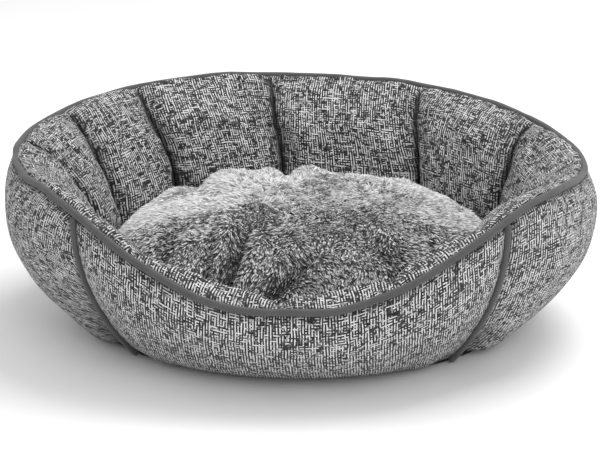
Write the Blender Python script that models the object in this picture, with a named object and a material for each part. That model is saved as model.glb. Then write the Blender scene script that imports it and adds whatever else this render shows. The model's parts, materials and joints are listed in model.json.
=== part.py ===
"""Oval pet cushion bed: a stuffed fabric wall with a low front, and a loose plush cushion inside.

Metres, +Z up. The origin is on the floor under the middle of the bed, and the low front faces -Y.
An angle around the bed starts at the middle of the low front and grows towards +X.
"""

import math

import bmesh
import bpy
import numpy as np

# The line of the rim, seen from above and from the side
RIM_HALF_WIDTH = 0.300
RIM_HALF_DEPTH = 0.254
PLAN_CENTRE_Y = -0.0025
FRONT_HEIGHT = 0.100
SIDE_HEIGHT = 0.186
BACK_HEIGHT = 0.214
DIP_FLAT_ANGLE = math.radians(5.0)
DIP_END_ANGLE = math.radians(58.0)
BACK_RISE_ANGLE = math.radians(80.0)
BACK_LEVEL_ANGLE = math.radians(165.0)
# The soft left side stands a little taller than the right
SIDE_LEAN = 0.0075
LEAN_START_ANGLE = math.radians(62.0)
LEAN_END_ANGLE = math.radians(88.0)

# The wall's section: how far its two faces stand from the rim line
SIDE_TUCK = 0.080
FRONT_TUCK = 0.0775
SIDE_BULGE = 0.020
FRONT_BULGE = 0.006
SEAM_DRAW = 0.0155
SEAM_DRAW_REACH = math.radians(11.0)
WALL_DEPTH = 0.078
# The pockets at the left side are stuffed a little fuller
LEFT_SWELL = 0.009
LEFT_SWELL_ANGLE = math.radians(-98.0)
LEFT_SWELL_REACH = math.radians(30.0)
POCKET_PINCH = 0.010
RIM_PUFF = 0.016
RIM_PUFF_REACH = 0.020
BELLY_SHARE = 0.42
SHOULDER_SHARE = 0.70
SHOULDER_LEAN = 0.004
UNDER_BELLY_SHARE = 0.28
ANKLE_SHARE = 0.10
ANKLE_LEAN = 0.001
UPPER_STATIONS = (0.0, 0.16, 0.34, 0.54, 0.76, 1.0)
LOWER_STATIONS = (0.5, 1.0)
FOOT_WIDTH = 0.009

# Cloth, cord and the clearances between them
CLOTH = 0.0012
PLUSH = 0.0024
GAP = 0.0004
PIPING_RADIUS = 0.0033
PIPING_CLOTH = 0.0006
PIPING_SIDES = 8
RIM_CLEARANCE = 0.0050

# Angles of the seams between the wall's pockets, in degrees
POCKET_SEAMS = (-171.5, -138.5, -113.5, -90, -60, -30, -1, 21, 40, 79, 118.5, 152)
POCKET_RING_ANGLE = math.radians(7.0)
NEAR_RING_ANGLE = math.radians(2.5)
SEAM_HALF_GAP = 0.0016

# Piping runs
RIM_JOIN_ANGLE = math.radians(82.0)
SEAM_PIPING_ANGLE = math.radians(44.0)
BACK_SEAM_ANGLE = math.radians(180.0)
# Half the angle between the two outer panels beside a vertical piping run
BESIDE_PIPING_ANGLE = (PIPING_RADIUS + GAP) / (RIM_HALF_DEPTH - WALL_DEPTH)
RIM_RING_ANGLE = math.radians(5.5)
SEAM_PIPING_STAND = 0.0034
SEAM_PIPING_RINGS = 8
SEAM_PIPING_TOP = 2.2 * PIPING_RADIUS

# The base, from the floor up
BASE_CLOTH = 0.0012
PAD_THICKNESS = 0.012
PAD_EDGE_GAP = 0.0015
BASE_RINGS = 48

# The loose cushion
CUSHION_GAP = 0.0045
CUSHION_CROWN = 0.138
CUSHION_FRONT_SEAM = 0.046
CUSHION_BACK_SEAM = 0.088
CUSHION_RINGS = 36
CUSHION_SHARES = (0.10, 0.45, 0.72, 0.90, 1.0)
# Powers that round the cushion's top and bottom towards the seam
CROWN_POWERS = (3.0, 0.6)
UNDERSIDE_POWERS = (5.0, 0.5)

LINEN = ((0.235, 0.235, 0.235), 0.92)
PIPING = ((0.125, 0.125, 0.125), 0.75)
PLUSH_FUR = ((0.330, 0.330, 0.330), 0.95)
BACKING = ((0.200, 0.200, 0.200), 0.90)
NON_SLIP = ((0.040, 0.040, 0.040), 0.80)
FIBRE = ((0.850, 0.850, 0.840), 1.00)
FOAM = ((0.800, 0.790, 0.760), 0.95)
CORD = ((0.780, 0.770, 0.740), 0.90)


# ---- Plan and rim ----

def mix(low, high, share):
    """The value a share of the way from low to high."""
    return low + (high - low) * share


def ease(value, low, high):
    """A smooth step from 0 at low to 1 at high."""
    share = min(max((value - low) / (high - low), 0.0), 1.0)
    return share * share * (3.0 - 2.0 * share)


def turn_from_front(angle):
    """The unsigned angle from the middle of the low front, up to pi."""
    return abs(math.remainder(angle, math.tau))


def front_share(angle):
    """1 along the low front, 0 at the sides and the back."""
    return 1.0 - ease(turn_from_front(angle), DIP_FLAT_ANGLE, DIP_END_ANGLE)


def rim_height(angle):
    """Height of the rim line: low at the front, a little higher at the back than at the sides."""
    turn = turn_from_front(angle)
    side = mix(SIDE_HEIGHT, BACK_HEIGHT, ease(turn, BACK_RISE_ANGLE, BACK_LEVEL_ANGLE))
    lean = SIDE_LEAN * math.sin(angle) * ease(turn, LEAN_START_ANGLE, LEAN_END_ANGLE)
    return mix(side, FRONT_HEIGHT, front_share(angle)) - lean


def place(angle, offset, height):
    """The point that far outside the rim line, on the normal to the plan oval at that angle."""
    x = RIM_HALF_WIDTH * math.sin(angle)
    y = -RIM_HALF_DEPTH * math.cos(angle)
    normal_x = math.sin(angle) / RIM_HALF_WIDTH
    normal_y = -math.cos(angle) / RIM_HALF_DEPTH
    length = math.hypot(normal_x, normal_y)
    return (x + offset * normal_x / length, PLAN_CENTRE_Y + y + offset * normal_y / length, height)


# ---- The wall's section, as (offset, height) points at one angle ----

def tuck(angle):
    """How far the foot of the wall's outer face stands inside the rim line."""
    return mix(SIDE_TUCK, FRONT_TUCK, front_share(angle))


def outer_offset(angle, share):
    """Offset of the outer face at a share of the rim's height.

    It bulges, tucks in towards its foot, and is drawn in along the two piped seams.
    """
    away = (turn_from_front(angle) - SEAM_PIPING_ANGLE) / SEAM_DRAW_REACH
    bulge = mix(SIDE_BULGE, FRONT_BULGE, front_share(angle)) - SEAM_DRAW * math.exp(-away ** 2)
    return bulge * math.sin(math.pi * share) - tuck(angle) * (1.0 - share) ** 2


def outer_face(angle, stations=7):
    """The outer face from just under the rim piping down to the base."""
    height = rim_height(angle)
    top = 1.0 - RIM_CLEARANCE / height
    bottom = (BASE_CLOTH + GAP) / height
    return [(outer_offset(angle, share), share * height) for share in np.linspace(top, bottom, stations)]


def wall_depth(angle):
    """How far the fullest part of the inner face stands inside the rim line."""
    away = math.remainder(angle - LEFT_SWELL_ANGLE, math.tau) / LEFT_SWELL_REACH
    return WALL_DEPTH + LEFT_SWELL * math.exp(-away ** 2)


def bezier(controls, share):
    """A point on a cubic curve."""
    rest = 1.0 - share
    weights = (rest ** 3, 3.0 * share * rest ** 2, 3.0 * share ** 2 * rest, share ** 3)
    return tuple(sum(w * point[axis] for w, point in zip(weights, controls)) for axis in range(2))


def inner_face(angle, puff):
    """The padded inner face from the rim piping over the shoulder, down the belly and in to the foot.

    puff is 1 in the middle of a pocket and 0 on the seams between pockets.
    """
    height = rim_height(angle)
    belly = wall_depth(angle) - POCKET_PINCH * (1.0 - puff)
    foot = tuck(angle) + FOOT_WIDTH
    start = (-RIM_CLEARANCE, height)
    shoulder = (-RIM_PUFF_REACH, height + RIM_PUFF * puff)
    slope = (-belly - SHOULDER_LEAN, height * SHOULDER_SHARE)
    fullest = (-belly, height * BELLY_SHARE)
    lower = (-belly - ANKLE_LEAN, height * UNDER_BELLY_SHARE)
    ankle = (-foot + ANKLE_LEAN, height * ANKLE_SHARE)
    end = (-foot, BASE_CLOTH + GAP)
    upper_curve = (start, shoulder, slope, fullest)
    lower_curve = (fullest, lower, ankle, end)
    points = [bezier(upper_curve, share) for share in UPPER_STATIONS]
    return points + [bezier(lower_curve, share) for share in LOWER_STATIONS]


def inset(points, depth, side):
    """The section line moved sideways by depth: side 1 moves it to its left, -1 to its right.

    The two ends keep their height, so that edges stay level with each other.
    """
    moved = []
    for index, (x, z) in enumerate(points):
        before = points[max(index - 1, 0)]
        after = points[min(index + 1, len(points) - 1)]
        run = (after[0] - before[0], after[1] - before[1])
        length = math.hypot(*run)
        new_x = x - side * depth * run[1] / length
        new_z = z + side * depth * run[0] / length
        if index == len(points) - 1:
            new_z = z
        moved.append((new_x, new_z))
    return moved


# ---- Solids ----

def closed_skin(name, rings, along, around, finish, caps=True):
    """A closed body through equal rings of points.

    along and around number the rings and the points of a ring. Four-sided faces split by these
    numbers, so two nested skins with the same numbers split alike and stay the same distance apart.
    """
    bm = bmesh.new()
    loops = [[bm.verts.new(point) for point in ring] for ring in rings]
    count = len(loops[0])
    pairs = list(zip(range(len(loops) - 1), range(1, len(loops))))
    if not caps:
        pairs.append((len(loops) - 1, 0))
    for first, second in pairs:
        for here in range(count):
            there = (here + 1) % count
            a, b = loops[first][here], loops[first][there]
            d, c = loops[second][here], loops[second][there]
            if (along[second] - along[first]) * (around[there] - around[here]) >= 0:
                bm.faces.new((a, b, c))
                bm.faces.new((a, c, d))
            else:
                bm.faces.new((a, b, d))
                bm.faces.new((b, c, d))
    if caps:
        bm.faces.new(loops[0][::-1])
        bm.faces.new(loops[-1])
    bmesh.ops.recalc_face_normals(bm, faces=bm.faces)
    mesh = bpy.data.meshes.new(name)
    bm.to_mesh(mesh)
    bm.free()
    mesh.materials.append(material(name, *finish))
    mesh.shade_smooth()
    mesh.set_sharp_from_angle(angle=math.radians(40.0))
    part = bpy.data.objects.new(name, mesh)
    bpy.context.scene.collection.objects.link(part)
    return part


def material(name, colour, roughness):
    """A plain cloth-like finish."""
    made = bpy.data.materials.new(name)
    made.use_nodes = True
    shader = made.node_tree.nodes["Principled BSDF"]
    shader.inputs["Base Color"].default_value = (*colour, 1.0)
    shader.inputs["Roughness"].default_value = roughness
    shader.inputs["Metallic"].default_value = 0.0
    return made


def wall_solid(name, angles, sections, around, finish):
    """A body swept around the wall, with one closed section at each angle."""
    rings = [[place(angle, *point) for point in section] for angle, section in zip(angles, sections)]
    return closed_skin(name, rings, range(len(rings)), around, finish)


def cloth_section(face, side):
    """The closed section of a cloth panel whose outer side is the given face line."""
    return face + inset(face, CLOTH, side)[::-1]


def fill_section(outer, inner):
    """The closed section of the fibre between the two cloth faces."""
    depth = CLOTH + GAP
    return inset(outer, depth, -1) + inset(inner, depth, 1)[::-1]


def there_and_back(count):
    """Station numbers for a section that runs down one side of a panel and up the other."""
    return list(range(count)) + list(range(count))[::-1]


# ---- The wall ----

def pocket_spans():
    """Start and end angle of each pocket between two seams."""
    starts = [math.radians(seam) for seam in POCKET_SEAMS]
    ends = starts[1:] + [starts[0] + math.tau]
    return list(zip(starts, ends))


def pocket_angles(start, end):
    """The angles at which a pocket's section is taken, with the outer panels' front edges among them."""
    edges = [
        side * SEAM_PIPING_ANGLE + beside
        for side in (-1, 1)
        for beside in (-BESIDE_PIPING_ANGLE, BESIDE_PIPING_ANGLE)
        if start < side * SEAM_PIPING_ANGLE < end
    ]
    steps = max(4, round((end - start) / POCKET_RING_ANGLE))
    even = np.linspace(start, end, steps + 1)
    clear = [angle for angle in even if all(abs(angle - edge) > NEAR_RING_ANGLE for edge in edges)]
    return np.array(sorted(clear + edges))


def pocket_puff(angle, start, end):
    """1 in the middle of the pocket, 0 at its seams."""
    side = (2.0 * angle - start - end) / (end - start)
    return 1.0 - abs(side) ** 3


def build_pocket(number, start, end):
    """One padded pocket of the inner wall: its cloth panel and the loose fibre behind it."""
    angles = pocket_angles(start, end)
    puffs = [pocket_puff(angle, start, end) for angle in angles]
    angles[0] += SEAM_HALF_GAP
    angles[-1] -= SEAM_HALF_GAP
    inners = [inner_face(angle, puff) for angle, puff in zip(angles, puffs)]
    outers = [outer_face(angle) for angle in angles]

    panels = [cloth_section(inner, 1) for inner in inners]
    around = there_and_back(len(inners[0]))
    wall_solid(f"inner_panel_{number:02d}", angles, panels, around, LINEN)

    fills = [fill_section(outer, inner) for outer, inner in zip(outers, inners)]
    around = list(range(len(outers[0]))) + list(range(len(inners[0])))[::-1]
    wall_solid(f"wall_fill_{number:02d}", angles, fills, around, FIBRE)


def ring_angles_between(low, high):
    """The angles of the pockets' sections that lie between two angles, with the two ends."""
    inside = set()
    for start, end in pocket_spans():
        for angle in pocket_angles(start, end):
            for turned in (angle - math.tau, angle, angle + math.tau):
                if low + SEAM_HALF_GAP < turned < high - SEAM_HALF_GAP:
                    inside.add(round(float(turned), 7))
    return [low] + sorted(inside) + [high]


def build_outer_panel(name, low, high):
    """One plain panel of the outer wall between two vertical seams."""
    angles = ring_angles_between(low, high)
    sections = [cloth_section(outer_face(angle), -1) for angle in angles]
    wall_solid(name, angles, sections, there_and_back(len(sections[0]) // 2), LINEN)


def build_outer_wall():
    """Front, right and left panels. The front seams leave room for their piping."""
    front = SEAM_PIPING_ANGLE - BESIDE_PIPING_ANGLE
    side = SEAM_PIPING_ANGLE + BESIDE_PIPING_ANGLE
    back = BACK_SEAM_ANGLE - SEAM_HALF_GAP
    build_outer_panel("outer_front_panel", -front, front)
    build_outer_panel("outer_right_panel", side, back)
    build_outer_panel("outer_left_panel", -back, -side)


# ---- Piping ----

def tube_rings(path, references, radius):
    """A ring of points around each point of the path, square to it."""
    points = np.array(path)
    runs = np.gradient(points, axis=0)
    rings = []
    for point, run, reference in zip(points, runs, references):
        forward = run / np.linalg.norm(run)
        side = np.cross(forward, reference)
        side /= np.linalg.norm(side)
        up = np.cross(side, forward)
        turns = [math.tau * step / PIPING_SIDES for step in range(PIPING_SIDES)]
        rings.append([tuple(point + radius * (math.cos(t) * side + math.sin(t) * up)) for t in turns])
    return rings


def build_piping(name, path, references):
    """A piping run: a cord in a sleeve of folded cloth, open at its two ends."""
    outside = tube_rings(path, references, PIPING_RADIUS)
    inside = tube_rings(path, references, PIPING_RADIUS - PIPING_CLOTH)
    cord = tube_rings(path, references, PIPING_RADIUS - PIPING_CLOTH - GAP)
    numbers = there_and_back(len(path))
    around = list(range(PIPING_SIDES))
    closed_skin(f"{name}_sleeve", outside + inside[::-1], numbers, around, PIPING, caps=False)
    closed_skin(f"{name}_cord", cord, numbers[:len(path)], around, CORD)


def build_rim_piping(name, low, high):
    """Piping along the rim between two angles."""
    end_gap = GAP / RIM_HALF_DEPTH
    steps = round((high - low) / RIM_RING_ANGLE)
    angles = np.linspace(low + end_gap, high - end_gap, steps + 1)
    path = [place(angle, 0.0, rim_height(angle)) for angle in angles]
    build_piping(name, path, [(0.0, 0.0, 1.0)] * len(path))


def build_seam_piping(name, angle):
    """Piping down the seam between the front panel and a side panel."""
    height = rim_height(angle)
    top = 1.0 - SEAM_PIPING_TOP / height
    bottom = (BASE_CLOTH + PIPING_RADIUS) / height
    path = []
    for share in np.linspace(top, bottom, SEAM_PIPING_RINGS):
        offset = outer_offset(angle, share)
        path.append(place(angle, offset + SEAM_PIPING_STAND, share * height))
    outward = np.subtract(place(angle, 1.0, 0.0), place(angle, 0.0, 0.0))
    build_piping(name, path, [tuple(outward)] * len(path))


# ---- The base ----

def build_disc(name, outline_offset, low, high, finish):
    """A flat layer of the base between two heights, its edge following the foot of the wall."""
    angles = [math.tau * step / BASE_RINGS for step in range(BASE_RINGS)]
    rings = [[place(angle, -tuck(angle) - outline_offset, z) for angle in angles] for z in (low, high)]
    closed_skin(name, rings, (0, 1), list(range(BASE_RINGS)), finish)


def build_base():
    """Non-slip cloth on the floor, a thin pad on it, and the lining over the pad."""
    inside_foot = FOOT_WIDTH + CLOTH + PAD_EDGE_GAP
    pad_bottom = BASE_CLOTH + GAP
    pad_top = pad_bottom + PAD_THICKNESS
    lining_bottom = pad_top + GAP
    build_disc("base_cloth", 0.0, 0.0, BASE_CLOTH, NON_SLIP)
    build_disc("base_pad", inside_foot, pad_bottom, pad_top, FOAM)
    build_disc("floor_lining", inside_foot, lining_bottom, lining_bottom + CLOTH, LINEN)
    return lining_bottom + CLOTH


# ---- The loose cushion ----

def cushion_seam_height(angle):
    """The cushion's edge seam rides higher at the back, where the cushion is fuller."""
    return mix(CUSHION_BACK_SEAM, CUSHION_FRONT_SEAM, 0.5 + 0.5 * math.cos(angle))


def cushion_ring(share, shrink, height_of):
    """One oval ring of the cushion, a share of the way from its middle to its edge."""
    ring = []
    for step in range(CUSHION_RINGS):
        angle = math.tau * step / CUSHION_RINGS
        x, y, _ = place(angle, -wall_depth(angle) - CUSHION_GAP - shrink, 0.0)
        ring.append((x * share, PLAN_CENTRE_Y + (y - PLAN_CENTRE_Y) * share, height_of(angle, share)))
    return ring


def cushion_top(shrink):
    """Rings of the crowned upper surface, from the middle out to the seam."""
    def height_of(angle, share):
        seam = cushion_seam_height(angle) + 0.5 * GAP
        return seam + (CUSHION_CROWN - shrink - seam) * (1.0 - share ** CROWN_POWERS[0]) ** CROWN_POWERS[1]
    return [cushion_ring(share, shrink, height_of) for share in CUSHION_SHARES]


def cushion_bottom(shrink, rest):
    """Rings of the lower surface, flat in the middle, from the middle out to the seam."""
    def height_of(angle, share):
        seam = cushion_seam_height(angle) - 0.5 * GAP
        drop = (1.0 - share ** UNDERSIDE_POWERS[0]) ** UNDERSIDE_POWERS[1]
        return seam - (seam - rest - shrink) * drop
    return [cushion_ring(share, shrink, height_of) for share in CUSHION_SHARES]


def build_cushion(floor):
    """The plush top, the plain underside and the fibre fill, resting on the lining."""
    rest = floor + GAP
    fill_shrink = PLUSH + GAP
    around = list(range(CUSHION_RINGS))
    both_ways = there_and_back(len(CUSHION_SHARES))
    top = cushion_top(0.0) + cushion_top(PLUSH)[::-1]
    closed_skin("cushion_top_cover", top, both_ways, around, PLUSH_FUR)
    bottom = cushion_bottom(0.0, rest) + cushion_bottom(PLUSH, rest)[::-1]
    closed_skin("cushion_bottom_cover", bottom, both_ways, around, BACKING)
    fill = cushion_bottom(fill_shrink, rest) + cushion_top(fill_shrink)[::-1]
    closed_skin("cushion_fill", fill, both_ways, around, FIBRE)


def main():
    """Build the bed."""
    for old in list(bpy.data.objects):
        bpy.data.objects.remove(old)
    for number, (start, end) in enumerate(pocket_spans(), start=1):
        build_pocket(number, start, end)
    build_outer_wall()
    build_rim_piping("rim_piping_back", RIM_JOIN_ANGLE, math.tau - RIM_JOIN_ANGLE)
    build_rim_piping("rim_piping_front", -RIM_JOIN_ANGLE, RIM_JOIN_ANGLE)
    build_seam_piping("seam_piping_right", SEAM_PIPING_ANGLE)
    build_seam_piping("seam_piping_left", -SEAM_PIPING_ANGLE)
    floor = build_base()
    build_cushion(floor)


main()
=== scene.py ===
"""The oval pet bed, dressed: puffed linen pockets, piped rim and a loose plush cushion."""

import json
import logging
import math
from dataclasses import dataclass, field
from enum import Enum
from typing import Any, Optional, Sequence, Union

import bmesh
import bpy
import numpy as np
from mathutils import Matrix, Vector

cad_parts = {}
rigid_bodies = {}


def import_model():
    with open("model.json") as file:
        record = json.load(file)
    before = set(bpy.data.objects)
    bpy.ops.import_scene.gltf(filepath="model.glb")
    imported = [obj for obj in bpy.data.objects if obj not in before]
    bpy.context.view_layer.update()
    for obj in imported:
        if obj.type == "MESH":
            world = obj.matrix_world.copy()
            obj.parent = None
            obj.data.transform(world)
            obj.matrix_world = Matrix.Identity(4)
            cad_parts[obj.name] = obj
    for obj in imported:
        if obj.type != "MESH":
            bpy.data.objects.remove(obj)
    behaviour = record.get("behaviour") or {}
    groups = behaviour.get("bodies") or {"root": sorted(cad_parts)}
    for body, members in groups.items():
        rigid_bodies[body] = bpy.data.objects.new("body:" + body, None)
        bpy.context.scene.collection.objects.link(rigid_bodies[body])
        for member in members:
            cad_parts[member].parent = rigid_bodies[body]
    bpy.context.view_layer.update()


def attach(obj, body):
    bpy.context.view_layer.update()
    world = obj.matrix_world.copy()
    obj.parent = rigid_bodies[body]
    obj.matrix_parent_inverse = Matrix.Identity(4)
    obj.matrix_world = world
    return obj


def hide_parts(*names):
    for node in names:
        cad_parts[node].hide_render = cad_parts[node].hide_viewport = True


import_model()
LOG = logging.getLogger("pet_bed")

BED = "bed"
CUSHION = "cushion"


# ---------------------------------------------------------------- shader benches

Value = Union["Strand", float, int, tuple]


class Strand:
    """One output of a material's node tree that takes part in Python arithmetic."""

    def __init__(self, bench: "Bench", socket: bpy.types.NodeSocket) -> None:
        """Keep the socket and the bench that it belongs to.

        Args:
            bench: The material bench that adds the nodes.
            socket: The output socket that this strand stands for.
        """
        self.bench = bench
        self.socket = socket

    def maths(self, operation: str, *others: Value) -> "Strand":
        """Run a Math node with this strand first.

        Args:
            operation: The Math node's operation.
            others: Its second and third values.

        Returns:
            The node's result.
        """
        return self.bench.maths(operation, self, *others)

    def __add__(self, other: Value) -> "Strand":
        """Sum."""
        return self.bench.maths("ADD", self, other)

    def __radd__(self, other: Value) -> "Strand":
        """Reflected sum."""
        return self.bench.maths("ADD", other, self)

    def __sub__(self, other: Value) -> "Strand":
        """Difference."""
        return self.bench.maths("SUBTRACT", self, other)

    def __rsub__(self, other: Value) -> "Strand":
        """Reflected difference."""
        return self.bench.maths("SUBTRACT", other, self)

    def __mul__(self, other: Value) -> "Strand":
        """Product."""
        return self.bench.maths("MULTIPLY", self, other)

    def __rmul__(self, other: Value) -> "Strand":
        """Reflected product."""
        return self.bench.maths("MULTIPLY", other, self)

    def __truediv__(self, other: Value) -> "Strand":
        """Quotient."""
        return self.bench.maths("DIVIDE", self, other)

    def __gt__(self, other: Value) -> "Strand":
        """1 where this strand is greater, else 0."""
        return self.bench.maths("GREATER_THAN", self, other)

    def floor(self) -> "Strand":
        """Whole part."""
        return self.maths("FLOOR")

    def fract(self) -> "Strand":
        """Part after the point."""
        return self.maths("FRACT")

    def clamp(self) -> "Strand":
        """Held between 0 and 1."""
        return self.maths("MAXIMUM", 0.0).maths("MINIMUM", 1.0)

    def hump(self) -> "Strand":
        """A round rise from 0 to 1 and back over each whole step."""
        side = self.fract() * 2.0 - 1.0
        return 1.0 - side * side


class Bench:
    """Builds one material's node tree around a Principled shader."""

    def __init__(self, name: str) -> None:
        """Start a material.

        Args:
            name: The material's name.
        """
        self.material = bpy.data.materials.new(name)
        self.material.use_nodes = True
        self.tree = self.material.node_tree
        self.shader = self.tree.nodes["Principled BSDF"]

    def join(self, socket: bpy.types.NodeSocket, value: Value) -> None:
        """Link a strand to a socket, or set a plain value on it.

        Args:
            socket: The input socket.
            value: A strand, a number, or a tuple.
        """
        if isinstance(value, Strand):
            self.tree.links.new(value.socket, socket)
        else:
            socket.default_value = value

    def add(
        self,
        kind: str,
        settings: Optional[dict[str, Any]] = None,
        sockets: Optional[dict[Union[str, int], Value]] = None,
        out: Union[str, int] = 0,
    ) -> Strand:
        """Add any node.

        Args:
            kind: The node's type.
            settings: Attributes, set before the sockets; "stops" fills a colour ramp.
            sockets: Values or strands by the input's name or number.
            out: The output that is wanted.

        Returns:
            That output as a strand.
        """
        node = self.tree.nodes.new(kind)
        for key, value in (settings or {}).items():
            if key == "stops":
                self._stops(node.color_ramp, value)
            else:
                setattr(node, key, value)
        for key, value in (sockets or {}).items():
            self.join(node.inputs[key], value)
        return Strand(self, node.outputs[out])

    @staticmethod
    def _stops(ramp: bpy.types.ColorRamp, stops: Sequence[tuple[float, float]]) -> None:
        """Fill a ramp with grey stops.

        Args:
            ramp: The colour ramp.
            stops: Pairs of position and grey value.
        """
        while len(ramp.elements) < len(stops):
            ramp.elements.new(0.5)
        for element, (position, grey) in zip(ramp.elements, stops):
            element.position = position
            element.color = (grey, grey, grey, 1.0)

    def maths(self, operation: str, *values: Value) -> Strand:
        """Add a Math node.

        Args:
            operation: Its operation.
            values: Its inputs in order.

        Returns:
            Its result.
        """
        return self.add("ShaderNodeMath", {"operation": operation}, dict(enumerate(values)))

    def pair(self, x: Value, y: Value, z: Value = 0.0) -> Strand:
        """A vector from its parts."""
        return self.add("ShaderNodeCombineXYZ", None, {0: x, 1: y, 2: z})

    def split(self, vector: Strand) -> tuple[Strand, Strand, Strand]:
        """The three parts of a vector.

        Args:
            vector: The vector.

        Returns:
            Its x, y and z.
        """
        first = self.add("ShaderNodeSeparateXYZ", None, {0: vector})
        node = first.socket.node
        return first, Strand(self, node.outputs[1]), Strand(self, node.outputs[2])

    def noise(self, vector: Strand, scale: float, detail: float = 2.0, rough: float = 0.5) -> Strand:
        """Smooth noise about 0.5.

        Args:
            vector: Where to read it.
            scale: Lumps per unit.
            detail: Octaves.
            rough: Strength of the finer octaves.

        Returns:
            The noise value.
        """
        sockets = {"Vector": vector, "Scale": scale, "Detail": detail, "Roughness": rough}
        return self.add("ShaderNodeTexNoise", {"noise_dimensions": "3D"}, sockets)

    def mix(self, low: Value, high: Value, share: Value) -> Strand:
        """A plain number between two others."""
        return self.add("ShaderNodeMix", {"data_type": "FLOAT"}, {0: share, 2: low, 3: high})

    def ramp(self, value: Strand, stops: Sequence[tuple[float, float]]) -> Strand:
        """A grey colour read off a ramp."""
        return self.add("ShaderNodeValToRGB", {"stops": stops}, {0: value})

    def finish(
        self,
        colour: Value,
        roughness: Value,
        height: Optional[Strand] = None,
        relief: float = 0.0,
        sheen: float = 0.0,
        specular: float = 0.3,
    ) -> bpy.types.Material:
        """Feed the shader.

        Args:
            colour: Base colour.
            roughness: Roughness.
            height: Height of the surface detail in units of relief.
            relief: Real height of that detail in metres.
            sheen: Weight of the soft fibre sheen.
            specular: Level of the mirror reflection.

        Returns:
            The finished material.
        """
        self.join(self.shader.inputs["Base Color"], colour)
        self.join(self.shader.inputs["Roughness"], roughness)
        self.shader.inputs["Metallic"].default_value = 0.0
        self.shader.inputs["Sheen Weight"].default_value = sheen
        self.shader.inputs["Sheen Roughness"].default_value = 0.5
        self.shader.inputs["Specular IOR Level"].default_value = specular
        if height is not None:
            sockets = {"Strength": 1.0, "Distance": relief, "Height": height}
            self.join(self.shader.inputs["Normal"], self.add("ShaderNodeBump", None, sockets))
        return self.material


# ---------------------------------------------------------------- finishes


@dataclass(frozen=True)
class LinenFinish:
    """Heathered linen-look cloth in plain weave; the pattern follows the piece's own UV map, in metres."""

    name: str
    pitch: float = 0.0014
    slub_run: float = 0.0085
    slub_grip: float = 6.0
    tone_weight: float = 0.95
    ply_contrast: float = 0.56
    middle: float = 0.476
    stops: tuple[tuple[float, float], ...] = (
        (0.38, 0.020),
        (0.46, 0.068),
        (0.50, 0.18),
        (0.545, 0.44),
        (0.61, 0.82),
    )
    relief: float = 0.0006
    # Strength of the painted shade read from fold_shade, and the near-black colour of all the painted shade.
    fold_shade_strength: float = 0.9
    painted_shade_colour: tuple[float, float, float] = (0.006, 0.006, 0.006)

    def build(self) -> bpy.types.Material:
        """Weave warp and weft yarns that pass over and under each other and change in tone, with painted
        shade near black in the gaps between yarns and where fold_shade is set.

        Returns:
            The material.
        """
        bench = Bench(self.name)
        cloth = bench.add("ShaderNodeUVMap", {"uv_map": "cloth"})
        across, along, _ = bench.split(cloth)
        sway = bench.noise(cloth, 70.0, 1.0)
        columns = across * (1.0 / self.pitch) + sway * 1.6
        rows = along * (1.0 / self.pitch) - sway * 1.6
        column, row = columns.floor(), rows.floor()
        run = self.pitch / self.slub_run
        warp_slub = bench.noise(bench.pair(column * 7.618, rows * run, 3.7), 1.0, 1.0, 0.6)
        weft_slub = bench.noise(bench.pair(columns * run, row * 5.618, 9.1), 1.0, 1.0, 0.6)
        turn = ((column + row) * 0.5).fract() - 0.25
        over = ((warp_slub - weft_slub) * self.slub_grip + turn * 2.0) > 0.0
        warp_tone = bench.noise(bench.pair(column * 3.618, rows * run, 21.4), 1.0, 1.0, 0.7)
        weft_tone = bench.noise(bench.pair(columns * run, row * 4.382, 33.6), 1.0, 1.0, 0.7)
        warp_tone = warp_tone + ((column * 0.5).fract() - 0.25) * self.ply_contrast
        weft_tone = weft_tone + ((row * 0.5).fract() - 0.25) * self.ply_contrast
        tone = (bench.mix(weft_tone, warp_tone, over) - 0.5) * self.tone_weight + self.middle
        rise = bench.mix(rows.hump(), columns.hump(), over)
        # Painted shade: the gaps between yarns and the fold_shade places are mixed towards near black.
        fold = bench.add("ShaderNodeAttribute", {"attribute_name": "fold_shade"}, out="Fac")
        painted_shade = 1.0 - (rise * 2.0).clamp() * (1.0 - fold * self.fold_shade_strength)
        sockets = {0: painted_shade, 6: bench.ramp(tone, self.stops), 7: (*self.painted_shade_colour, 1.0)}
        colour = bench.add("ShaderNodeMix", {"data_type": "RGBA"}, sockets, out=2)
        height = rise * (bench.mix(weft_slub, warp_slub, over) * 0.8 + 0.6)
        return bench.finish(colour, 0.88, height, self.relief, sheen=0.12, specular=0.2)


@dataclass(frozen=True)
class PipingFinish:
    """Tight plain bias cloth, a shade darker than the linen, on the piping."""

    name: str = "piping_cloth"
    grey: float = 0.078
    pitch: float = 0.0006

    def build(self) -> bpy.types.Material:
        """Fine diagonal weave with a faint change of tone along the run.

        Returns:
            The material.
        """
        bench = Bench(self.name)
        cloth = bench.add("ShaderNodeUVMap", {"uv_map": "cloth"})
        across, along, _ = bench.split(cloth)
        warp = (across + along) * (0.7 / self.pitch)
        weft = (across - along) * (0.7 / self.pitch)
        rise = warp.hump() * weft.hump()
        cloud = bench.noise(cloth, 60.0, 3.0)
        wear = bench.noise(cloth, 900.0, 2.0)
        # The weave's rise also goes into the tone: painted shade in the gaps between the yarns, lighter yarn
        # tops.
        tone = cloud * 0.5 + wear * 0.25 + rise * 0.25
        stops = [(0.25, self.grey * 0.72), (0.5, self.grey), (0.75, self.grey * 1.35)]
        colour = bench.ramp(tone, stops)
        return bench.finish(colour, 0.72, rise + wear * 0.5, 0.00012, sheen=0.18, specular=0.3)


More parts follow.
